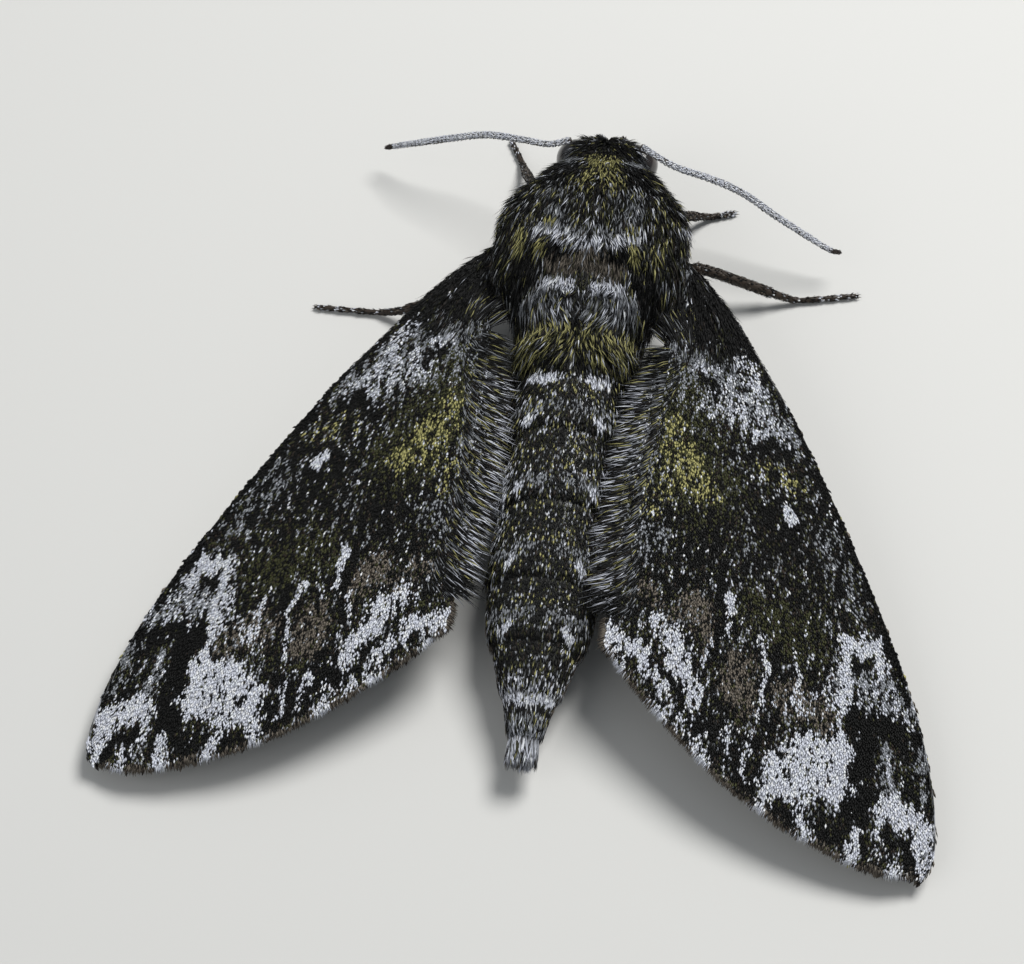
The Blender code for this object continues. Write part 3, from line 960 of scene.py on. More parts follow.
@dataclass
class Wing:
    """One wing: a veined membrane with scales on both faces and a fringe."""

    side: Side
    node: str
    front: tuple[Place2, ...]
    rear: tuple[Place2, ...]
    veins: tuple[tuple[Place2, Place2], ...]
    above: Pattern
    below: Pattern
    scales_above: int
    scales_below: int
    seed: int
    inset: float = 0.75
    coat: float = 0.17
    membrane: float = 0.2
    vein_height: float = 0.09
    vein_reach: float = 0.24
    rib_height: float = 0.14
    rows: int = 150
    columns: int = 64

    def swing(self, flat: Array, back: bool = False) -> Array:
        """Turn plan places about the root to this wing's spread, or back again.

        Args:
            flat: rows of x and y.
            back: whether to undo the turn.

        Returns:
            The turned rows.
        """
        angle = math.radians(WING_SWING[self.side]) * (1 if back else -1)
        sign = self.side.value
        pivot = np.array(WING_PIVOT)
        own = flat * (sign, 1) if back else flat
        turned = own - pivot
        cosine, sine = math.cos(angle), math.sin(angle)
        moved = np.stack(
            [
                turned[:, 0] * cosine - turned[:, 1] * sine,
                turned[:, 0] * sine + turned[:, 1] * cosine,
            ],
            axis=1,
        )
        moved += pivot
        return moved if back else moved * (sign, 1)

    def vein_distance(self, flat: Array) -> Array:
        """Distance of plan places from the nearest vein."""
        away = [
            self.veins_mark(start, end).cover(flat[:, 0], flat[:, 1]) for start, end in self.veins
        ]
        return 1 - np.max(away, axis=0)

    def veins_mark(self, start: Place2, end: Place2) -> Mark:
        """A vein as a stroke that fades with the distance from it."""
        return Mark(B, start, end, 0.0, 2.0, 2 * self.vein_reach)

    def outline(self) -> tuple[Array, Array]:
        """Front and rear edges of the membrane, drawn in from the tips of the fringe."""
        front, rear = curve(self.front, self.rows), curve(self.rear, self.rows)
        edge = unit(np.gradient(rear, axis=0))
        inward = np.stack([-edge[:, 1], edge[:, 0]], axis=1)
        toward = np.sign(np.sum(inward * (front - rear), axis=1, keepdims=True))
        outer = np.clip((edge[:, :1] - 0.15) / 0.3, 0, 1)
        return front, rear + inward * toward * (self.inset * outer + 0.08)

    def build_membrane(self, plan: Plan, tree: BVHTree) -> bpy.types.Mesh:
        """Lay the membrane under the top of the solid, with its veins and front rib.

        Args:
            plan: the moth's axes in the frame.
            tree: the solid of this wing, on the moth's axes.

        Returns:
            The closed mesh of the membrane.
        """
        front, rear = self.outline()
        across = np.linspace(0, 1, self.columns)[None, :, None]
        flat = (front[:, None] * (1 - across) + rear[:, None] * across).reshape(-1, 2)
        turned = self.swing(flat)
        height = np.empty(len(turned))
        for i, (x, y) in enumerate(turned):
            hit = tree.ray_cast(Vector((x, y, 30.0)), Vector((0, 0, -1)))[0]
            height[i] = (hit or tree.find_nearest(Vector((x, y, 6.0)))[0]).z
        vein = 1 - self.vein_distance(flat)
        height += self.vein_height * np.clip(vein, 0, 1) - self.coat
        grid = np.concatenate([turned, height[:, None]], axis=1)
        grid = grid.reshape(self.rows, self.columns, 3)
        rib = np.exp(-np.arange(self.columns) / 1.6)
        grid[:, :, 2] += rib[None] * self.rib_height - self.rib_height / 2
        shape = SkinGrid(grid, False).shape(plan)
        bmesh.ops.recalc_face_normals(shape, faces=shape.faces)
        if sum(face.normal.z for face in shape.faces) < 0:
            bmesh.ops.reverse_faces(shape, faces=shape.faces)
        sheet = list(shape.faces)
        lowered = bmesh.ops.extrude_face_region(shape, geom=sheet, use_keep_orig=True)["geom"]
        under = [item for item in lowered if isinstance(item, bmesh.types.BMVert)]
        bmesh.ops.translate(shape, verts=under, vec=(0, 0, -self.membrane * MM))
        bmesh.ops.recalc_face_normals(shape, faces=shape.faces)
        return mesh_of(f"{self.node}_membrane", shape)

    def scale_roots(self, tree: BVHTree, count: int, upper: bool, seed: int) -> tuple[Roots, Array]:
        """Spread roots over one face of the membrane.

        Args:
            tree: the membrane, on the moth's axes.
            count: roots tried over the box of the wing.
            upper: whether they grow on the upper face.
            seed: start of the even sequence.

        Returns:
            The roots and their plan places on the unswung left wing.
        """
        edges = np.concatenate([np.array(self.front), np.array(self.rear)])
        low, high = edges.min(axis=0) - 0.2, edges.max(axis=0) + 0.2
        pairs = even_pairs(count, seed)
        flat = low + pairs * (high - low)
        turned = self.swing(flat)
        start, aim = (30.0, -1.0) if upper else (-30.0, 1.0)
        places, normals, kept = [], [], []
        for i, (x, y) in enumerate(turned):
            hit, normal, _, _ = tree.ray_cast(Vector((x, y, start)), Vector((0, 0, aim)))
            if hit is not None:
                places.append(hit)
                normals.append(normal if normal.z * aim < 0 else -normal)
                kept.append(i)
        place, normal = np.array(places), np.array(normals)
        flat, pairs = flat[kept], pairs[kept]
        return Roots(place, normal, self.lie(flat, normal), pairs), flat

    def lie(self, flat: Array, normal: Array) -> Array:
        """Which way the scales point: along the front edge there, straight back at the margin.

        Args:
            flat: plan places on the unswung left wing.
            normal: the skin's normals.

        Returns:
            Unit vectors along the skin.
        """
        front, rear = curve(self.front, 200), curve(self.rear, 200)
        slope = np.gradient(front, axis=0)
        lean = np.interp(flat[:, 1], front[:, 1], np.arctan2(slope[:, 0], slope[:, 1]))
        outer = np.interp(flat[:, 1], front[:, 1], front[:, 0])
        half = np.argmax(rear[:, 1] > rear[0, 1] + 0.8 * (rear[-1, 1] - rear[0, 1]))
        inner = np.interp(flat[:, 1], rear[:half, 1], rear[:half, 0])
        share = np.clip((flat[:, 0] - inner) / np.maximum(outer - inner, 1.0), 0, 1)
        angle = lean * share**1.3 - math.radians(4) * (1 - share)
        angle += (Mottle(self.seed + 7, (1.6, 2.4)).at(flat[:, 0], flat[:, 1]) - 0.5) * 0.35
        ahead = flat + np.stack([np.sin(angle), np.cos(angle)], axis=1)
        turned = self.swing(ahead) - self.swing(flat)
        return drape(level(turned), normal)

    def scale_coat(self, plan: Plan, tree: BVHTree, upper: bool) -> bpy.types.Mesh:
        """Scales over one face of the wing.

        Args:
            plan: the moth's axes in the frame.
            tree: the membrane, on the moth's axes.
            upper: whether they grow on the upper face.

        Returns:
            The joined scales.
        """
        count = self.scales_above if upper else self.scales_below
        pattern = self.above if upper else self.below
        seed = self.seed + (0 if upper else 50)
        roots, flat = self.scale_roots(tree, count, upper, seed)
        rng = np.random.default_rng(seed + 1)
        number = len(flat)
        tip = toned(pattern.pick(flat[:, 0], flat[:, 1], seed + 2), seed + 3)
        size = 1.0 if upper else 1.5
        jitter = rng.normal(0, math.radians(7), number)[:, None]
        side = np.cross(roots.normal, roots.lie)
        roots.lie = unit(roots.lie * np.cos(jitter) + side * np.sin(jitter))
        growth = Growth(
            length=size * rng.uniform(0.42, 0.62, number),
            width=size * rng.uniform(0.15, 0.22, number),
            lift=rng.uniform(6, 17, number),
            bend=np.full(number, 0.05),
            curl=rng.normal(0, 0.05, number),
            root_colour=tip * 0.45,
            tip_colour=tip,
            thickness=0.2,
        )
        face = "upper" if upper else "under"
        return coat_mesh(f"{self.node}_scales_{face}", SCALE, roots, growth, plan)

    def dress(self, plan: Plan, nodes: dict[str, bpy.types.Object]) -> BVHTree:
        """Build the membrane and both coats and set them out.

        Args:
            plan: the moth's axes in the frame.
            nodes: the CAD nodes by name.

        Returns:
            The membrane as a search tree, on the moth's axes.
        """
        solid = search_tree(nodes[self.node].data, plan)
        mesh = self.build_membrane(plan, solid)
        places = vertex_places(mesh, plan)
        flat = self.swing(places[:, :2], back=True)
        set_tint(mesh, self.above.average(flat[:, 0], flat[:, 1]))
        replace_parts(set_out(mesh, MEMBRANE), self.node)
        tree = search_tree(mesh, plan)
        for upper in (True, False):
            set_out(self.scale_coat(plan, tree, upper), WING_SCALES, False)
        return tree


def search_tree(mesh: bpy.types.Mesh, plan: Plan) -> BVHTree:
    """A search tree of a mesh on the moth's axes."""
    places = [tuple(place) for place in vertex_places(mesh, plan)]
    return BVHTree.FromPolygons(places, [tuple(face.vertices) for face in mesh.polygons])


def drawn_growth(
    rng: np.random.Generator,
    tip: Array,
    dark: float,
    length: Place2,
    width: Place2,
    lift: Place2,
    bend: Place2 = (0.08, 0.2),
    curl: float = 0.1,
) -> Growth:
    """Draw the sizes of hairs between their lowest and highest values.

    Args:
        rng: source of the draws.
        tip: colours of the tips.
        dark: share of the tip's colour that the root has.
        length: limits in mm.
        width: limits in mm.
        lift: limits in degrees.
        bend: limits as a share of the length.
        curl: spread of the sideways bend.

    Returns:
        The growth of one hair for each tip.
    """
    number = len(tip)
    return Growth(
        length=rng.uniform(*length, number),
        width=rng.uniform(*width, number),
        lift=rng.uniform(*lift, number),
        bend=rng.uniform(*bend, number),
        curl=rng.normal(0, curl, number),
        root_colour=tip * dark,
        tip_colour=tip,
    )


@dataclass
class WingHair:
    """Long hair scales on a forewing: fringe of the outer edge, inner margin and base."""

    wing: Wing
    fringe_hairs: int = 2600
    margin_hairs: int = 4200
    base_hairs: int = 1800
    fringe_start: float = 0.455
    margin_span: Place2 = (0.02, 0.44)
    margin_depth: float = 2.2
    # y from which the margin hair is painted black: painted shadow between the wing and the abdomen.
    margin_dark_from: float = 16.5
    root_share: float = 0.055
    fringe_white: tuple[float, ...] = (7.6, 11.0, 14.5, 19.1, 22.6, 26.0, 29.3)

    def edge_roots(
        self, tree: BVHTree, count: int, span: Place2, depth: float, seed: int
    ) -> tuple[Array, ...]:
        """Roots in a strip along the rear edge of the membrane.

        Args:
            tree: the membrane, on the moth's axes.
            count: how many hairs.
            span: part of the edge, in shares of its length from root to tip.
            depth: width of the strip, in mm.
            seed: start of the even sequence.

        Returns:
            Places, normals, outward directions, plan places, shares along the edge and the
            even pairs.
        """
        _, rear = self.wing.outline()
        pairs = even_pairs(count, seed)
        share = span[0] + pairs[:, 0] * (span[1] - span[0])
        row = share * (len(rear) - 1)
        steps = np.arange(len(rear))
        places = np.stack([np.interp(row, steps, rear[:, k]) for k in (0, 1)], axis=1)
        slope = unit(np.gradient(rear, axis=0))
        edge = np.stack([np.interp(row, steps, slope[:, k]) for k in (0, 1)], axis=1)
        outward = np.stack([-edge[:, 1], edge[:, 0]], axis=1)
        flat = places - outward * (0.1 + pairs[:, 1:] * depth)
        turned = self.wing.swing(flat)
        out = self.wing.swing(flat + outward) - turned
        spots, normals = [], []
        for x, y in turned:
            hit, normal, _, _ = tree.ray_cast(Vector((x, y, 30.0)), Vector((0, 0, -1)))
            if hit is None:
                hit, normal, _, _ = tree.find_nearest(Vector((x, y, 6.0)))
            spots.append(hit)
            normals.append(normal if normal.z > 0 else -normal)
        return np.array(spots), np.array(normals), out, flat, share, pairs

    def strands(self, name: str, plan: Plan, parts: list[tuple[Roots, Growth]]) -> bpy.types.Mesh:
        """Join several growths of hair into one mesh."""
        roots = Roots(
            *(
                np.concatenate([getattr(r, key) for r, _ in parts])
                for key in ("place", "normal", "lie", "bake")
            )
        )
        fields = ("length", "width", "lift", "bend", "curl", "root_colour", "tip_colour")
        growth = Growth(*(np.concatenate([getattr(g, key) for _, g in parts]) for key in fields))
        return coat_mesh(name, HAIR, roots, growth, plan)

    def fringe(self, tree: BVHTree, seed: int) -> tuple[Roots, Growth]:
        """The fringe of the outer edge: brown with white tufts where the wedges reach it."""
        span = (self.fringe_start, 1.0)
        spots, normals, out, flat, _, pairs = self.edge_roots(
            tree, self.fringe_hairs, span, 0.35, seed
        )
        rng = np.random.default_rng(seed + 1)
        white = np.zeros(len(flat))
        for place in self.fringe_white:
            white = np.maximum(white, np.exp(-(((flat[:, 0] - place) / 0.55) ** 2)))
        tint = np.where(rng.random(len(flat)) < white * 1.2, TINTS.index(W), TINTS.index(D))
        tint = np.where(rng.random(len(flat)) < 0.25 * (1 - white), TINTS.index(U), tint)
        tip = toned(tint, seed + 2, 0.75, 1.2)
        lie = level(out)
        lie[:, 1] += 0.5
        growth = drawn_growth(
            rng, tip, 0.5, (0.65, 1.05), (0.07, 0.11), (-3, 9), bend=(0.0, 0.08), curl=0.08
        )
        bake = pairs * (0.96, 0.3) + (0.02, 0.02)
        return Roots(spots, normals, drape(lie, normals), bake), growth

    def margin(self, tree: BVHTree, seed: int) -> tuple[Roots, Growth]:
        """Dark hair with pale tufts along the inner margin, reaching over to the body; toward the
        rear end of the margin the hair is painted black as the shadow between wing and abdomen.
        """
        spots, normals, out, flat, share, pairs = self.edge_roots(
            tree, self.margin_hairs, self.margin_span, self.margin_depth, seed
        )
        rng = np.random.default_rng(seed + 1)
        near, at_root = 1 - pairs[:, 1], share < self.root_share
        chance = rng.random(len(flat))
        tint = np.full(len(flat), TINTS.index(B))
        tint[chance < 0.3] = TINTS.index(G)
        tint[(chance < 0.42 * near**2) & (share > 0.12)] = TINTS.index(W)
        tint[chance > 0.9] = TINTS.index(U)
        tint[(share < 0.1) & (chance > 0.15)] = TINTS.index(B)
        tint[(chance > 0.8) & (chance < 0.9)] = TINTS.index(S)
        # Past that y the margin hair is painted black, a painted shadow in the gap between the
        # wing's margin and the abdomen.
        dark = flat[:, 1] > self.margin_dark_from
        tint[dark & (chance > 0.2)] = TINTS.index(B)
        tip = toned(tint, seed + 2, 0.6, 1.1)
        lie = level(out * (0.3 + 1.5 * near[:, None]))
        lie[:, 1] += np.where(at_root, -1.1, 0.7)
        growth = drawn_growth(rng, tip, 0.3, (0.9, 1.6), (0.06, 0.11), (4, 16))
        growth.length *= 1 + 0.9 * near**2 + 0.5 * at_root
        bake = pairs * (0.96, 0.3) + (0.02, 0.35)
        return Roots(spots, normals, drape(lie, normals), bake), growth

    def base(self, tree: BVHTree, seed: int) -> tuple[Roots, Growth]:
        """Dark hair over the root of the wing."""
        rng = np.random.default_rng(seed)
        pairs = even_pairs(self.base_hairs, seed)
        flat = np.array((7.2, -13.0)) + pairs * (5.5, 9.0)
        turned = self.wing.swing(flat)
        spots, normals, kept = [], [], []
        for i, (x, y) in enumerate(turned):
            hit, normal, _, _ = tree.ray_cast(Vector((x, y, 30.0)), Vector((0, 0, -1)))
            if hit is not None:
                spots.append(hit)
                normals.append(normal)
                kept.append(i)
        flat, pairs = flat[kept], pairs[kept]
        normals = np.array(normals)
        picked = self.wing.above.pick(flat[:, 0], flat[:, 1], seed + 1)
        tip = toned(picked, seed + 2, 0.6, 1.1)
        growth = drawn_growth(rng, tip, 0.3, (0.8, 1.5), (0.08, 0.12), (8, 20))
        lie = self.wing.lie(flat, normals)
        return Roots(np.array(spots), normals, lie, pairs * (0.96, 0.28) + (0.02, 0.69)), growth

    def dress(self, plan: Plan, tree: BVHTree) -> None:
        """Grow all three and set them out as one piece."""
        seed = self.wing.seed + 300
        parts = [self.fringe(tree, seed), self.margin(tree, seed + 10), self.base(tree, seed + 20)]
        mesh = self.strands(f"{self.wing.node}_fringe", plan, parts)
        set_out(mesh, BODY_HAIR, False)


@dataclass(frozen=True)
class Swell:
    """A place where the skin of the back stands out."""

    place: Place2
    reach: Place2
    height: float

    def rise(self, x: Array, y: Array) -> Array:
        """Height added at each plan place, the same on both sides."""
        across = (np.abs(x) - self.place[0]) / self.reach[0]
        along = (y - self.place[1]) / self.reach[1]
        return self.height * np.exp(-(across**2 + along**2))


@dataclass(frozen=True)
class HairZone:
    """How the coat grows about one place of the trunk, on both sides."""

    turn: float
    y: float
    reach: Place2
    length: float
    lift: float
    sweep: float
    width: float
    mess: float = 10.0

    def weight(self, turn: Array, y: Array) -> Array:
        """How much each place on the trunk takes from this zone."""
        away = ((turn - self.turn) / self.reach[0]) ** 2 + ((y - self.y) / self.reach[1]) ** 2
        return np.exp(-0.5 * away)


BODY_MARKS = (
    Mark(B, (0.0, -24.0), (3.0, -21.0), 3.0, 0.6, 1.5),
    Mark(G, (3.4, -21.9), (3.0, -20.2), 0.45, 0.7, 0.4),
    Mark(G, (2.5, -20.0), (2.9, -18.7), 0.4, 0.7, 0.4),
    Mark(S, (0.4, -19.6), (1.3, -16.8), 0.85, 0.5, 0.8),
    Mark(B, (3.0, -19.0), (3.4, -17.3), 0.8, 0.85, 0.6),
    Mark(G, (3.4, -16.2), (3.2, -14.2), 0.8, 0.4, 0.8),
    Mark(G, (1.8, -15.5), (2.4, -14.0), 0.8, 0.3, 0.8),
    Mark(S, (3.3, -12.8), (3.4, -12.4), 0.42, 0.85, 0.3),
    Mark(W, (4.4, -12.1), (2.6, -11.1), 0.5, 0.75, 0.4),
    Mark(W, (2.6, -11.1), (0.0, -10.5), 0.6, 0.75, 0.4),
    Mark(G, (0.0, -11.6), (3.0, -12.2), 0.7, 0.5, 0.6),
    Mark(B, (3.9, -10.6), (2.2, -9.8), 0.5, 0.97, 0.3),
    Mark(B, (4.5, -9.4), (4.2, -7.6), 0.6, 0.92, 0.4),
    Mark(S, (3.9, -10.5), (3.9, -10.0), 0.45, 0.9, 0.3),
    Mark(S, (5.6, -11.6), (5.2, -9.0), 0.5, 0.55, 0.5),
    Mark(D, (0.0, -9.1), (2.2, -8.8), 0.85, 0.85, 0.5),
    Mark(B, (5.0, -8.6), (5.4, -5.6), 0.9, 0.8, 0.8),
    Mark(G, (1.0, -5.2), (3.8, -5.7), 1.0, 0.55, 0.8),
    Mark(W, (1.0, -5.0), (3.0, -5.4), 0.6, 0.2, 0.6),
    Mark(S, (0.6, -3.0), (4.4, -2.4), 1.4, 0.35, 1.0),
    Mark(W, (0.9, -7.1), (3.0, -7.0), 0.5, 0.97, 0.3),
    Mark(W, (1.5, 0.2), (2.8, 0.1), 0.5, 0.97, 0.25),
    Mark(B, (0.0, 1.0), (0.0, 22.0), 0.16, 0.6, 0.2),
    Mark(W, (2.5, 3.4), (2.9, 3.8), 0.36, 0.95, 0.25),
    Mark(W, (2.6, 9.2), (3.0, 9.7), 0.36, 0.95, 0.25),
    Mark(W, (2.4, 15.2), (2.8, 15.7), 0.36, 0.95, 0.25),
    Mark(W, (2.1, 20.4), (2.5, 20.8), 0.34, 0.95, 0.25),
    Mark(G, (0.8, 2.6), (3.8, 3.0), 0.45, 0.4, 0.5),
    Mark(G, (0.8, 8.6), (3.8, 9.0), 0.5, 0.45, 0.5),
    Mark(G, (0.8, 14.4), (3.8, 14.8), 0.5, 0.45, 0.5),
    Mark(G, (0.8, 19.4), (3.6, 19.6), 0.5, 0.5, 0.5),
    Mark(W, (4.0, 7.6), (4.5, 13.4), 0.5, 0.7, 0.5),
    Mark(W, (0.0, 24.3), (1.9, 24.4), 0.7, 0.4, 0.6),
    Mark(W, (0.0, 25.6), (2.0, 25.4), 0.5, 0.85, 0.4),
    Mark(B, (0.0, 26.4), (2.4, 26.4), 0.2, 0.95, 0.15),
    Mark(G, (0.0, 28.2), (1.6, 30.0), 1.5, 0.4, 0.8),
    Mark(W, (0.4, 28.2), (0.9, 30.0), 0.7, 0.45, 0.5),
)
BACK = Pattern(
    {B: 0.62, U: 0.06, O: 0.13, S: 0.06, G: 0.08, W: 0.05}, BODY_MARKS, 41, 0.16, (0.16, 0.8), 0.75
)
FLANK = Pattern(
    {U: 0.34, D: 0.3, G: 0.26, B: 0.1},
    (
        Mark(A, (5.4, 0.8), (5.4, 1.6), 0.95, 0.9, 0.5),
        Mark(A, (5.2, 6.4), (5.2, 7.2), 0.9, 0.9, 0.5),
        Mark(A, (4.9, 12.4), (4.9, 13.2), 0.8, 0.9, 0.5),
        Mark(B, (5.6, -0.6), (5.4, 15.6), 1.6, 0.4, 1.2),
    ),
    43,
    0.2,
)
BELLY = Pattern(
    {G: 0.42, W: 0.28, D: 0.3}, (Mark(D, (0.0, -20.0), (0.0, 26.0), 0.3, 0.7, 0.4),), 47
)
SWELLS = (
    Swell((6.4, -15.2), (2.0, 3.4), 1.5),
    Swell((6.8, -10.2), (1.9, 3.6), 1.9),
    Swell((2.4, -19.0), (1.8, 1.2), 0.35),
    Swell((2.2, -11.2), (2.2, 1.0), 0.35),
    Swell((2.0, -7.1), (1.3, 0.8), 0.3),
    Swell((2.6, -2.9), (1.7, 1.3), 0.5),
)
ZONES = (
    # Face, cheeks and crown: (turn from the middle of the back, y, reach) then the growth.
    HairZone(0.0, -24.8, (60.0, 0.6), 0.7, 30.0, 180.0, 0.10, 14.0),
    HairZone(120.0, -24.6, (60.0, 0.8), 0.5, 16.0, 180.0, 0.09, 14.0),
    HairZone(0.0, -23.4, (30.0, 0.7), 1.1, 46.0, 30.0, 0.10, 24.0),
    HairZone(52.0, -23.0, (18.0, 1.1), 2.5, 26.0, 62.0, 0.10, 14.0),
    HairZone(0.0, -21.8, (40.0, 0.9), 1.2, 26.0, 0.0, 0.10),
    HairZone(66.0, -20.8, (24.0, 1.0), 2.2, 32.0, 34.0, 0.11, 14.0),
    HairZone(100.0, -22.8, (30.0, 1.6), 0.5, 14.0, 10.0, 0.09),
    HairZone(150.0, -22.8, (50.0, 1.6), 0.8, 22.0, 0.0, 0.10),
    # Collar and front of the thorax.
    HairZone(0.0, -19.6, (60.0, 1.0), 1.4, 22.0, 0.0, 0.11),
    HairZone(20.0, -17.6, (60.0, 0.9), 1.7, 30.0, 4.0, 0.11),
    HairZone(20.0, -15.0, (50.0, 1.6), 1.6, 17.0, 0.0, 0.11),
    HairZone(66.0, -15.0, (26.0, 3.0), 2.2, 17.0, 8.0, 0.12),
    HairZone(70.0, -7.4, (26.0, 3.2), 3.5, 16.0, 26.0, 0.12),
    HairZone(18.0, -11.4, (40.0, 1.1), 1.8, 20.0, 12.0, 0.12),
    # Smooth shield, white pads and the fans behind them.
    HairZone(0.0, -8.9, (36.0, 0.6), 0.6, 10.0, 0.0, 0.09),
    HairZone(18.0, -7.1, (16.0, 0.5), 0.8, 42.0, 0.0, 0.09, 30.0),
    HairZone(30.0, -5.3, (30.0, 0.7), 1.6, 15.0, -38.0, 0.11),
    HairZone(28.0, -2.9, (26.0, 1.0), 2.1, 30.0, 42.0, 0.11, 14.0),
    HairZone(0.0, -3.6, (12.0, 1.0), 1.4, 34.0, 8.0, 0.11, 20.0),
    # Abdomen: flat scales on the back, longer ones on the sides.
    HairZone(20.0, 2.0, (50.0, 2.2), 0.75, 8.0, 4.0, 0.16, 7.0),
    HairZone(20.0, 14.0, (55.0, 8.0), 0.62, 7.0, 0.0, 0.17, 6.0),
    HairZone(82.0, 0.0, (20.0, 4.5), 3.0, 30.0, 30.0, 0.11, 14.0),
    HairZone(84.0, 9.0, (20.0, 7.0), 1.9, 24.0, 12.0, 0.11),
    HairZone(160.0, 10.0, (50.0, 12.0), 0.75, 8.0, 0.0, 0.17, 6.0),
    HairZone(90.0, 24.0, (120.0, 1.6), 0.8, 9.0, 0.0, 0.14, 6.0),
    HairZone(90.0, 28.6, (200.0, 1.3), 2.6, 7.0, 0.0, 0.13, 7.0),
    # Sides and underside of the thorax.
    HairZone(115.0, -13.0, (24.0, 4.0), 1.7, 20.0, 12.0, 0.12),
    HairZone(165.0, -12.0, (40.0, 5.0), 1.4, 20.0, 0.0, 0.12),
)


@dataclass
class Trunk:
    """Head, thorax and abdomen under one skin, with their coat."""

    head_rows: tuple[tuple[float, float, float, float], ...] = (
        (-24.9, 0.5, 5.1, 6.2), (-24.6, 1.7, 4.2, 7.1), (-23.9, 2.7, 3.4, 8.3),
        (-22.7, 3.3, 2.9, 9.4), (-21.0, 4.1, 2.7, 10.2),
    )
    flesh: tuple[str, ...] = (
        "collar", "thorax", "abdomen_1", "abdomen_2", "abdomen_3", "abdomen_4", "abdomen_5",
        "abdomen_6", "tail_tuft",
    )
    replaced: tuple[str, ...] = ("head", "tegula_left", "tegula_right")
    eye: Place3 = (2.6, -22.9, 6.1)
    eye_radius: float = 1.7
    eye_rim: float = 0.25
    step: float = 0.36
    columns: int = 112
    depth_rows: tuple[Place2, ...] = (
        (-25.0, 0.35), (-22.0, 0.6), (-19.0, 0.9), (-12.0, 1.0), (-3.0, 0.9), (1.0, 0.45),
        (20.0, 0.4), (25.0, 0.5), (27.5, 0.9), (30.5, 0.6),
    )
    segment_rise: float = 0.2
    tail_end: float = 28.6

    def measure(self, plan: Plan, nodes: dict[str, bpy.types.Object]) -> Array:
        """Read the sections of the trunk from the rings of its solids.

        Args:
            plan: the moth's axes in the frame.
            nodes: the CAD nodes by name.

        Returns:
            Rows of y, half width, underside and back.
        """
        rows = [list(row) for row in self.head_rows]
        self.joints: list[float] = []
        for name in self.flesh:
            points = plan.node_points(nodes[name])
            self.joints.append(points[:, 1].min())
            for y in np.unique(np.round(points[:, 1], 2)):
                ring = points[np.abs(points[:, 1] - y) < 0.02]
                if len(ring) >= 8:
                    rows.append([y, np.abs(ring[:, 0]).max(), ring[:, 2].min(), ring[:, 2].max()])
        return np.array(sorted(rows))

    def build_skin(self, plan: Plan, nodes: dict[str, bpy.types.Object]) -> SkinGrid:
        """Loft the skin inside the solids by the depth of the coat.

        Args:
            plan: the moth's axes in the frame.
            nodes: the CAD nodes by name.

        Returns:
            The skin as a closed grid; its first column runs along the middle of the back.
        """
        form = self.measure(plan, nodes)
        count = round((self.tail_end - form[0, 0]) / self.step)
        self.y = np.linspace(form[0, 0], self.tail_end, count)
        depth = np.interp(self.y, *np.array(self.depth_rows).T)
        width = np.interp(self.y, form[:, 0], form[:, 1]) - depth
        low = np.interp(self.y, form[:, 0], form[:, 2]) + depth * 0.6
        high = np.interp(self.y, form[:, 0], form[:, 3]) - depth
        width, middle, half = np.maximum(width, 0.2), (low + high) / 2, (high - low) / 2
        half = np.maximum(half, 0.2)
        step = self.segment_share(self.y)
        swell = self.segment_rise * (step**2 - 0.4) * (self.y > self.joints[2])
        width, half = width + swell, half + swell
        turn = np.linspace(0, math.tau, self.columns, endpoint=False)
        x = width[:, None] * np.sin(turn)
        z = middle[:, None] + half[:, None] * np.cos(turn)
        y = np.broadcast_to(self.y[:, None], x.shape)
        out = unit(np.stack([np.sin(turn), np.zeros_like(turn), np.cos(turn)], axis=1))
        rise = np.clip(1.6 * np.cos(turn) + 0.6, 0, 1) * sum(swell.rise(x, y) for swell in SWELLS)
        points = np.stack([x, y, z], axis=2)
        apart = [
            np.linalg.norm(points - sided(self.eye, sign), axis=2)
            for sign in (1, -1)
        ]
        rim = np.exp(-(((np.minimum(*apart) - self.eye_radius - 0.1) / 0.3) ** 2))
        points = points + (rise + rim * self.eye_rim)[..., None] * out
        return SkinGrid(points, True)

    def segment_share(self, y: Array) -> Array:
        """Place of each y within its length of the trunk, from 0 at its front to 1."""
        ends = np.array([*self.joints[2:], self.tail_end + 2.0])
        index = np.clip(np.searchsorted(ends, y, side="right") - 1, 0, len(ends) - 2)
        return np.clip((y - ends[index]) / (ends[index + 1] - ends[index]), 0, 1)

    def colours(self, place: Array, normal: Array, seed: int | None) -> Array:
        """Colour of skin or hair, from the back, the flanks and the belly.

        Args:
            place: places on the moth's axes.
            normal: the skin's normals there.
            seed: seed for picking one tint for each hair, or None for the mean colour.

        Returns:
            Linear colours.
        """
        x, y, z = np.abs(place[:, 0]), place[:, 1], place[:, 2]
        if seed is None:
            back, flank, belly = BACK.average(x, y), FLANK.average(z, y), BELLY.average(x, y)
            drawn = 0.5
        else:
            drawn = np.random.default_rng(seed).random(len(x))
            back = toned(BACK.pick(x, y, seed + 1), seed + 2, 0.6, 1.2)
            flank = toned(FLANK.pick(z, y, seed + 3), seed + 4, 0.6, 1.2)
            belly = toned(BELLY.pick(x, y, seed + 5), seed + 6, 0.6, 1.1)
        upward = normal[:, 2] + 0.25 * (drawn - 0.5)
        found = np.where((upward > 0.18)[:, None], back, flank)
        return np.where((upward < -0.55)[:, None], belly, found)

    def field(self, turn: Array, y: Array) -> dict[str, Array]:
        """Growth at places on the trunk, blended from the zones about them.

        Args:
            turn: degrees from the middle of the back, from 0 to 180.
            y: places along the body.

        Returns:
            Arrays of length, lift, sweep, width and mess.
        """
        weights = np.stack([zone.weight(turn, y) for zone in ZONES]) + 1e-9
        weights /= weights.sum(axis=0)
        names = ("length", "lift", "sweep", "width", "mess")
        return {
            name: np.array([getattr(zone, name) for zone in ZONES]) @ weights for name in names
        }

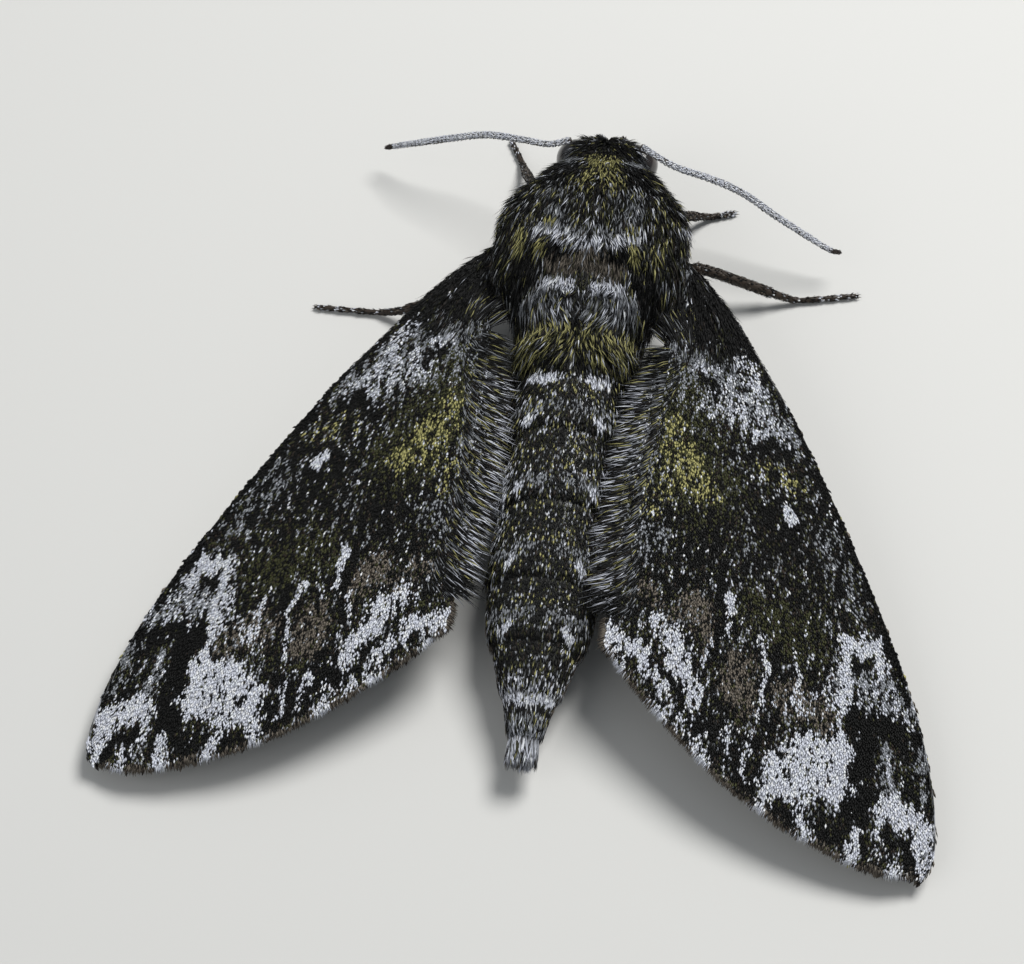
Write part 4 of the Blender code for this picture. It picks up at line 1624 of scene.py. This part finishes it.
    def grow(self, skin: SkinGrid, span: Place2, count: int, seed: int) -> tuple[Roots, Growth]:
        """Grow the coat of one length of the trunk.

        Args:
            skin: the skin's grid.
            span: first and last y.
            count: roots tried before they are thinned to an even cover.
            seed: seed of the draws.

        Returns:
            Roots and growth.
        """
        rng = np.random.default_rng(seed)
        pairs = even_pairs(count, seed + 1)
        y = span[0] + pairs[:, 1] * (span[1] - span[0])
        row = np.interp(y, self.y, np.arange(len(self.y)))
        column = pairs[:, 0] * self.columns
        area = skin.area(row, column)
        keep = rng.random(count) < area / np.quantile(area, 0.98)
        row, column, pairs, y = row[keep], column[keep], pairs[keep], y[keep]
        place, along, normal = skin.sample(row, column)
        side = np.cross(along, normal)
        sign = np.where(pairs[:, 0] < 0.5, 1.0, -1.0)
        turn = np.degrees(np.minimum(pairs[:, 0], 1 - pairs[:, 0]) * math.tau)
        growth = self.field(turn, y)
        lock = np.floor(turn / 5.0 + rng.random(len(y)) * 0.5) * 4096 + np.floor(y / 0.55)
        lock = (lock * 2 + (sign > 0)).astype(int)
        _, index = np.unique(lock, return_inverse=True)
        lock_turn = rng.normal(0, 0.6, index.max() + 1)[index]
        sweep = growth["sweep"] + growth["mess"] * (lock_turn + rng.normal(0, 0.6, len(y)))
        angle = np.radians(sweep)[:, None]
        outward = side * np.sign(side[:, :1] * sign[:, None])
        lie = unit(along * np.cos(angle) + outward * np.sin(angle))
        number = len(y)
        segment = np.where(y > self.joints[2], 0.8 + 0.5 * self.segment_share(y) ** 2, 1.0)
        length = growth["length"] * segment * rng.uniform(0.75, 1.2, number)
        shown = place + lie * (0.65 * length)[:, None]
        tip = self.colours(shown, normal, seed + 5)
        made = Growth(
            length=length,
            width=growth["width"] * rng.uniform(0.8, 1.2, number),
            lift=growth["lift"] * rng.uniform(0.6, 1.4, number),
            bend=np.radians(growth["lift"]) * rng.uniform(0.3, 0.75, number),
            curl=rng.normal(0, 0.09, number),
            root_colour=tip * 0.16,
            tip_colour=tip,
            thickness=0.3,
            clump=lock,
            gather=0.3,
        )
        roots = Roots(place, normal, lie, pairs * 0.99 + 0.005)
        clear = self.clear_of_eyes(roots, made)
        return only(roots, clear), only(made, clear)

    def clear_of_eyes(self, roots: Roots, growth: Growth) -> Array:
        """True for each blade that doesn't reach over an eye."""
        clear = np.ones(len(roots.place), bool)
        for sign in (1, -1):
            centre = sided(self.eye, sign)
            for share in (0.0, 0.5, 1.0):
                reach = growth.length * share
                rise = reach * (np.sin(np.radians(growth.lift)) - growth.bend * share)
                spot = roots.place + roots.lie * reach[:, None] + roots.normal * rise[:, None]
                clear &= np.linalg.norm(spot - centre, axis=1) > self.eye_radius + 0.05
        return clear

    def dress(self, plan: Plan, nodes: dict[str, bpy.types.Object]) -> None:
        """Build the skin and its coats and set them out.

        Args:
            plan: the moth's axes in the frame.
            nodes: the CAD nodes by name.
        """
        skin = self.build_skin(plan, nodes)
        mesh = mesh_of("body_skin", skin.shape(plan))
        places = vertex_places(mesh, plan)
        normals = np.array([vert.normal for vert in mesh.vertices])
        set_tint(mesh, self.colours(places, normals, None) * 0.35)
        piece = set_out(mesh, CUTICLE)
        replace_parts(piece, *self.flesh, *self.replaced)
        coats = (
            ("head_coat", (-24.9, -20.2), 26000, HAIR),
            ("thorax_front_coat", (-20.2, -12.6), 12600, HAIR),
            ("thorax_coat", (-12.6, -1.2), 17400, HAIR),
            ("abdomen_coat", (-1.2, 26.6), 32000, SCALE),
            ("tail_coat", (25.6, 28.5), 5600, STRAND),
        )
        for number, (name, span, count, blade) in enumerate(coats):
            roots, growth = self.grow(skin, span, count, 600 + 20 * number)
            coat = coat_mesh(name, blade, roots, growth, plan)
            set_out(coat, BODY_HAIR, False)


def only(record: Roots | Growth, mask: Array) -> Roots | Growth:
    """A copy of roots or growth with just the blades that the mask names."""
    arrays = {name: value for name, value in vars(record).items() if isinstance(value, np.ndarray)}
    return replace(record, **{name: value[mask] for name, value in arrays.items()})


# Feelers, legs and palps as in the solids: place of the centre line and its radius there.
ANTENNAE = {
    "antenna_left": (
        (2.9, -22.5, 9.35, 0.34), (4.7, -22.2, 8.9, 0.32), (6.9, -22.8, 8.3, 0.34),
        (10.2, -23.6, 7.4, 0.36), (13.5, -23.8, 6.1, 0.36), (16.4, -24.1, 4.6, 0.34),
        (18.4, -24.5, 3.3, 0.30), (19.3, -24.5, 2.9, 0.26),
    ),
    "antenna_right": (
        (-2.9, -22.5, 9.35, 0.34), (-4.6, -21.6, 9.1, 0.32), (-6.2, -21.1, 8.7, 0.34),
        (-9.1, -20.9, 7.8, 0.36), (-11.7, -20.4, 6.9, 0.36), (-14.5, -19.4, 5.6, 0.35),
        (-17.2, -18.6, 4.3, 0.33), (-19.1, -18.1, 3.4, 0.29), (-20.0, -18.1, 3.1, 0.25),
    ),
}
LEGS = {
    "foreleg_left": (
        (1.7, -17.2, 1.45, 0.85), (4.2, -19.4, 2.3, 0.80), (6.0, -21.5, 3.4, 0.62),
        (7.2, -24.2, 1.5, 0.50), (7.8, -25.9, 0.45, 0.36), (9.0, -28.1, 0.30, 0.34),
    ),
    "foreleg_right": (
        (-1.7, -17.2, 1.45, 0.85), (-4.2, -18.7, 2.4, 0.80), (-6.2, -19.9, 3.4, 0.62),
        (-7.7, -21.4, 1.5, 0.50), (-8.9, -22.2, 0.45, 0.36), (-10.9, -22.9, 0.30, 0.34),
    ),
    "midleg_left": (
        (2.2, -11.0, 1.45, 0.95), (5.6, -10.9, 2.6, 0.88), (9.4, -10.5, 4.0, 0.68),
        (15.2, -9.4, 1.5, 0.54), (17.6, -9.5, 0.45, 0.36), (23.0, -9.5, 0.30, 0.34),
    ),
    "midleg_right": (
        (-2.2, -11.4, 1.45, 0.95), (-5.6, -12.8, 2.7, 0.88), (-8.8, -14.3, 4.4, 0.68),
        (-14.6, -14.5, 1.6, 0.54), (-16.9, -14.7, 0.45, 0.36), (-21.8, -15.8, 0.30, 0.34),
    ),
    "hindleg_left": (
        (2.1, -5.4, 1.30, 0.95), (5.2, -3.8, 2.1, 0.88), (8.6, -0.7, 3.5, 0.68),
        (12.4, 6.2, 1.6, 0.54), (13.8, 9.0, 0.45, 0.36), (16.4, 15.4, 0.30, 0.34),
    ),
    "hindleg_right": (
        (-2.1, -5.4, 1.30, 0.95), (-5.2, -3.8, 2.1, 0.88), (-8.6, -0.7, 3.5, 0.68),
        (-12.4, 6.2, 1.6, 0.54), (-13.8, 9.0, 0.45, 0.36), (-16.4, 15.4, 0.30, 0.34),
    ),
}
PALPS = {
    "palp_left": (
        (1.10, -24.3, 2.0, 0.45), (1.15, -25.1, 2.9, 0.62), (1.10, -25.6, 4.3, 0.66),
        (1.00, -25.6, 5.5, 0.45),
    ),
    "palp_right": (
        (-1.10, -24.3, 2.0, 0.45), (-1.15, -25.1, 2.9, 0.62), (-1.10, -25.6, 4.3, 0.66),
        (-1.00, -25.6, 5.5, 0.45),
    ),
}


@dataclass
class Limb:
    """A feeler, leg or palp: a jointed skin swept along its rows under short scales."""

    name: str
    rows: tuple[tuple[float, ...], ...]
    slot: str
    finish: TintedFinish
    blade: Blade
    scales: int
    seed: int
    slack: float = 0.5
    depth: float = 0.1
    stations: int = 160
    sides: int = 20
    scale_length: float = 0.34
    scale_width: float = 0.13
    scale_lift: float = 12.0
    joint_flare: float = 0.22

    def joints(self) -> Array:
        """Shares along the limb where one segment ends and the next begins."""
        return np.array((0.0, 1.0))

    def skin(self) -> SkinGrid:
        """Sweep the skin, each segment widening toward its end."""
        line = curve(self.rows, self.stations, self.slack)
        share = np.linspace(0, 1, self.stations)
        ends = self.joints()
        index = np.clip(np.searchsorted(ends, share, side="right") - 1, 0, len(ends) - 2)
        within = (share - ends[index]) / (ends[index + 1] - ends[index])
        flare = 1 - self.joint_flare + self.joint_flare * np.clip(within, 0, 1) ** 1.5
        line[:, 3] = np.maximum((line[:, 3] - self.depth) * flare, 0.08)
        closing = np.clip((1 - share) / 0.012, 0.0, 1.0)
        line[:, 3] *= np.sqrt(0.06 + 0.94 * closing)
        line[:, 2] = np.maximum(line[:, 2], line[:, 3] + 0.02)
        return swept(line, self.sides)

    def tints(self, share: Array, normal: Array, rng: np.random.Generator) -> Array:
        """Tint of each scale by its place along the limb.

        Args:
            share: places along the limb from 0 to 1.
            normal: the skin's normals there.
            rng: source of the draws.

        Returns:
            Indices into TINTS.
        """
        chance = rng.random(len(share))
        steps = ((0.62, U), (0.8, D), (1.0, G))
        return pick_steps(chance, steps)

    def dress(self, plan: Plan) -> None:
        """Build the skin and its coat and set them out."""
        skin = self.skin()
        rng = np.random.default_rng(self.seed)
        mesh = mesh_of(f"{self.name}_skin", skin.shape(plan))
        set_tint(mesh, np.tile(TINT_COLOURS[TINTS.index(U)], (len(mesh.vertices), 1)))
        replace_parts(set_out(mesh, CUTICLE), self.name)
        pairs = even_pairs(self.scales, self.seed)
        row, column = pairs[:, 1] * (self.stations - 1), pairs[:, 0] * self.sides
        keep = rng.random(self.scales) < skin.area(row, column) / skin.area(row, column).max()
        row, column, pairs = row[keep], column[keep], pairs[keep]
        place, along, normal = skin.sample(row, column)
        tip = toned(self.tints(pairs[:, 1], normal, rng), self.seed + 1)
        number = len(tip)
        turn = rng.normal(0, math.radians(8), number)[:, None]
        lie = unit(along * np.cos(turn) + np.cross(normal, along) * np.sin(turn))
        growth = Growth(
            length=self.scale_length * rng.uniform(0.75, 1.25, number),
            width=self.scale_width * rng.uniform(0.8, 1.2, number),
            lift=self.scale_lift * rng.uniform(0.5, 1.6, number),
            bend=np.full(number, 0.1),
            curl=rng.normal(0, 0.06, number),
            root_colour=tip * 0.4,
            tip_colour=tip,
        )
        roots = Roots(place, normal, lie, pairs)
        coat = coat_mesh(f"{self.name}_scales", self.blade, roots, growth, plan)
        keep_above_floor(coat)
        set_out(coat, self.finish, False)


def pick_steps(chance: Array, steps: tuple[tuple[float, Tint], ...]) -> Array:
    """Turn chances into tints by their upper limits."""
    limits = np.array([limit for limit, _ in steps])
    order = np.array([TINTS.index(tint) for _, tint in steps])
    return order[np.minimum(np.searchsorted(limits, chance), len(order) - 1)]


def keep_above_floor(mesh: bpy.types.Mesh) -> None:
    """Lift any vertex below the floor onto it."""
    places = np.empty(len(mesh.vertices) * 3, np.float32)
    mesh.vertices.foreach_get("co", places)
    places[2::3] = np.maximum(places[2::3], 0.0)
    mesh.vertices.foreach_set("co", places)


def horn_piece(name: str, lines: list[Array], plan: Plan) -> bpy.types.Object:
    """Sweep several tapered lines into one piece of bare horn."""
    joined = bmesh.new()
    for line in lines:
        part = swept(line, 8).shape(plan)
        mesh = bpy.data.meshes.new(name)
        part.to_mesh(mesh)
        part.free()
        joined.from_mesh(mesh)
        bpy.data.meshes.remove(mesh)
    mesh = mesh_of(name, joined)
    keep_above_floor(mesh)
    return set_out(mesh, CLAW_HORN)


@dataclass
class Leg(Limb):
    """A leg with femur, tibia and five tarsal segments, spurs and a pair of claws."""

    tarsus_ends: tuple[float, ...] = (0.0, 0.4, 0.6, 0.76, 0.88, 1.0)
    ring_reach: float = 0.008
    spur_length: float = 1.1
    claw_length: float = 0.55

    def joints(self) -> Array:
        """Ends of coxa, femur and tibia at the rows, then of the tarsal segments."""
        table = np.array(self.rows)
        chords = np.linalg.norm(np.diff(table[:, :3], axis=0), axis=1)
        run = np.concatenate([[0], np.cumsum(chords)])
        run /= run[-1]
        tarsus = run[4] + (1 - run[4]) * np.array(self.tarsus_ends)
        return np.concatenate([run[:4:1], tarsus])

    def tints(self, share: Array, normal: Array, rng: np.random.Generator) -> Array:
        """Dark scales with a pale ring at each tarsal joint and flecks on the tibia."""
        chance = rng.random(len(share))
        found = pick_steps(chance, ((0.5, B), (0.8, U), (0.93, D), (1.0, G)))
        for joint in self.joints()[3:-1]:
            near = np.abs(share - joint) < self.ring_reach
            found[near & (chance < 0.75)] = TINTS.index(W)
        return found

    def dress(self, plan: Plan) -> None:
        """Build the leg, then its spurs and claws."""
        super().dress(plan)
        line = curve(self.rows, 200, self.slack)
        ends = self.joints()
        lines = []
        for share, spread in ((ends[3], 1), (ends[3], -1)):
            spot = line[round(share * 199)]
            ahead = unit(line[min(round(share * 199) + 6, 199), :3] - spot[:3])
            side = unit(np.cross(ahead, (0, 0, 1))) * spread
            lines.append(self.spine(spot[:3], ahead, side, self.spur_length, 0.11))
        ahead = unit(line[-1, :3] - line[-8, :3])
        for spread in (1, -1):
            side = unit(np.cross(ahead, (0, 0, 1))) * spread
            start = line[-1, :3] - 0.1 * ahead
            lines.append(self.spine(start, ahead, side, self.claw_length, 0.07))
        horn_piece(f"{self.name}_claws", lines, plan)

    def spine(self, start: Array, ahead: Array, side: Array, length: float, radius: float) -> Array:
        """Rows of a curved spine that tapers from its root."""
        t = np.linspace(0, 1, 8)[:, None]
        bow = ahead * t * 0.9 + side * (0.55 * t - 0.3 * t**2) - (0, 0, 0.12) * t**2
        line = start + length * bow
        line = np.concatenate([line, radius * (1 - 0.85 * t)], axis=1)
        line[:, 2] = np.maximum(line[:, 2], line[:, 3])
        return line


@dataclass
class Antenna(Limb):
    """A feeler of many short segments, white above and brown below, with a dark tip."""

    segments: int = 46

    def joints(self) -> Array:
        """Ends of the segments."""
        return np.linspace(0, 1, self.segments + 1)

    def tints(self, share: Array, normal: Array, rng: np.random.Generator) -> Array:
        """White on the upper side, brown below and dark at the tip."""
        chance = rng.random(len(share))
        found = pick_steps(chance, ((0.85, W), (1.0, G)))
        found[normal[:, 2] + 0.3 * (chance - 0.5) < -0.25] = TINTS.index(D)
        found[share > 0.95] = TINTS.index(U)
        return found


@dataclass
class Palp(Limb):
    """A short upturned palp, grey-brown with pale flecks."""

    def tints(self, share: Array, normal: Array, rng: np.random.Generator) -> Array:
        """Grey-brown with flecks, paler toward the mouth."""
        chance = rng.random(len(share)) + 0.15 * share
        return pick_steps(chance, ((0.2, W), (0.4, G), (0.72, D), (1.2, U)))


@dataclass
class Eye:
    """A large round compound eye."""

    side: Side
    centre: Place3 = (2.6, -22.9, 6.1)
    radius: float = 1.66

    def dress(self, plan: Plan) -> None:
        """Build the ball and set it out."""
        shape = bmesh.new()
        bmesh.ops.create_icosphere(shape, subdivisions=5, radius=self.radius * MM)
        place = plan.metres(sided(self.centre, self.side.value))
        bmesh.ops.translate(shape, verts=shape.verts, vec=Vector(place))
        name = f"eye_{self.side.word}"
        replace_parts(set_out(mesh_of(f"{name}_ball", shape), FacetedEye()), name)


@dataclass
class Tongue:
    """The tongue, rolled up like a watch spring between the palps."""

    centre: Place3 = (0.0, -25.0, 2.2)
    outer: float = 0.95
    inner: float = 0.22
    turns: float = 2.4
    radius: float = 0.17

    def dress(self, plan: Plan) -> None:
        """Sweep the coil and set it out."""
        t = np.linspace(0, 1, 140)
        reach = self.outer + (self.inner - self.outer) * t
        angle = math.tau * (0.15 - self.turns * t)
        line = np.stack(
            [
                self.centre[0] + 0.0 * t,
                self.centre[1] + reach * np.cos(angle),
                self.centre[2] + reach * np.sin(angle),
                self.radius * (1 - 0.55 * t),
            ],
            axis=1,
        )
        piece = set_out(mesh_of("tongue_coil", swept(line, 12).shape(plan)), TONGUE_HORN)
        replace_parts(piece, "proboscis")


@dataclass
class Camera:
    """The camera: where it looks and from how far."""

    azimuth: float = -12.65
    elevation: float = 62.0
    distance: float = 200.0
    target: Place3 = (4.34, 4.87, 0.0)
    roll: float = -5.12
    focal_pixels: float = 2474.0
    sensor: float = 36.0

    def place(self, plan: Plan) -> bpy.types.Object:
        """Make the camera and give it to the scene."""
        azimuth, elevation = math.radians(self.azimuth), math.radians(self.elevation)
        back = Vector(
            (
                math.sin(azimuth) * math.cos(elevation),
                math.cos(azimuth) * math.cos(elevation),
                math.sin(elevation),
            )
        )
        level = (-back).cross(Vector((0, 0, 1))).normalized()
        upright = level.cross(-back)
        roll = math.radians(self.roll)
        right = level * math.cos(roll) + upright * math.sin(roll)
        up = upright * math.cos(roll) - level * math.sin(roll)
        data = bpy.data.cameras.new("camera")
        data.sensor_width = self.sensor
        data.lens = self.focal_pixels * self.sensor / IMAGE_WIDTH
        data.clip_start, data.clip_end = 0.01, 10.0
        camera = bpy.data.objects.new("camera", data)
        place = plan.metres(np.array(self.target) + self.distance * np.array(back))
        turn = Matrix((right, up, back)).transposed().to_4x4()
        camera.matrix_world = Matrix.Translation(Vector(place)) @ turn
        bpy.context.scene.collection.objects.link(camera)
        bpy.context.scene.camera = camera
        return camera


@dataclass
class Studio:
    """Pale floor and soft light."""

    floor_half: float = 1.5
    floor_colour: str = "c4c3bf"
    key_place: Place3 = (-0.16, -0.20, 0.40)
    key_size: float = 0.22
    key_power: float = 2.7
    fill_place: Place3 = (0.35, 0.25, 0.35)
    fill_size: float = 0.5
    fill_power: float = 0.7
    sky: str = "dfe6ee"
    sky_strength: float = 0.36

    def set_up(self) -> None:
        """Make the floor, the two lights and the sky."""
        shape = bmesh.new()
        bmesh.ops.create_grid(shape, x_segments=1, y_segments=1, size=self.floor_half)
        mesh = mesh_of("floor", shape)
        paper = bpy.data.materials.new("matt_floor")
        paper.use_nodes = True
        shader = paper.node_tree.nodes["Principled BSDF"]
        shader.inputs["Base Color"].default_value = (*linear(self.floor_colour), 1.0)
        shader.inputs["Roughness"].default_value = 0.9
        mesh.materials.append(paper)
        floor = bpy.data.objects.new("floor", mesh)
        bpy.context.scene.collection.objects.link(floor)
        self.light("key_light", self.key_place, self.key_size, self.key_power)
        self.light("fill_light", self.fill_place, self.fill_size, self.fill_power)
        world = bpy.data.worlds.new("sky")
        world.use_nodes = True
        sky = world.node_tree.nodes["Background"]
        sky.inputs["Color"].default_value = (*linear(self.sky), 1.0)
        sky.inputs["Strength"].default_value = self.sky_strength
        bpy.context.scene.world = world
        bpy.context.scene.view_settings.view_transform = "Standard"

    def light(self, name: str, place: Place3, size: float, power: float) -> None:
        """Hang one soft light that faces the moth."""
        data = bpy.data.lights.new(name, "AREA")
        data.shape, data.size, data.energy = "DISK", size, power
        lamp = bpy.data.objects.new(name, data)
        lamp.location = place
        lamp.rotation_euler = (-Vector(place)).to_track_quat("-Z", "Y").to_euler()
        bpy.context.scene.collection.objects.link(lamp)


def main() -> None:
    """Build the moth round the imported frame."""
    logging.basicConfig(level=logging.INFO, format="%(message)s")
    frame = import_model()
    nodes = frame["nodes"]
    plan = Plan.of_frame()
    Camera().place(plan)
    Studio().set_up()
    for side in Side:
        forewing = Wing(
            side, f"forewing_{side.word}", FOREWING_FRONT, FOREWING_REAR, FOREWING_VEINS,
            FOREWING_ABOVE, FOREWING_BELOW, 59000, 16000, 100 + 1000 * (side is Side.RIGHT),
        )
        tree = forewing.dress(plan, nodes)
        WingHair(forewing).dress(plan, tree)
        hindwing = Wing(
            side, f"hindwing_{side.word}", HINDWING_FRONT, HINDWING_REAR, HINDWING_VEINS,
            HINDWING_ABOVE, HINDWING_BELOW, 9000, 9500, 400 + 1000 * (side is Side.RIGHT),
            rows=70, columns=40,
        )
        hindwing.dress(plan, nodes)
        Eye(side).dress(plan)
    Trunk().dress(plan, nodes)
    for number, (name, rows) in enumerate(LEGS.items()):
        Leg(name, rows, "leg_scales", WING_SCALES, SCALE, 2600, 3000 + 10 * number, 0.2).dress(plan)
    for number, (name, rows) in enumerate(ANTENNAE.items()):
        Antenna(
            name, rows, "antenna", FEELER_SCALES, SCALE, 5200, 3200 + 10 * number, stations=232,
            depth=0.08, scale_length=0.26, scale_width=0.1, joint_flare=0.2,
        ).dress(plan)
    for number, (name, rows) in enumerate(PALPS.items()):
        Palp(
            name, rows, "scale_coat", BODY_HAIR, HAIR, 2600, 3300 + 10 * number, depth=0.16,
            scale_length=0.42, scale_width=0.08, scale_lift=20.0, joint_flare=0.05,
        ).dress(plan)
    Tongue().dress(plan)


if __name__ == "__main__":
    main()
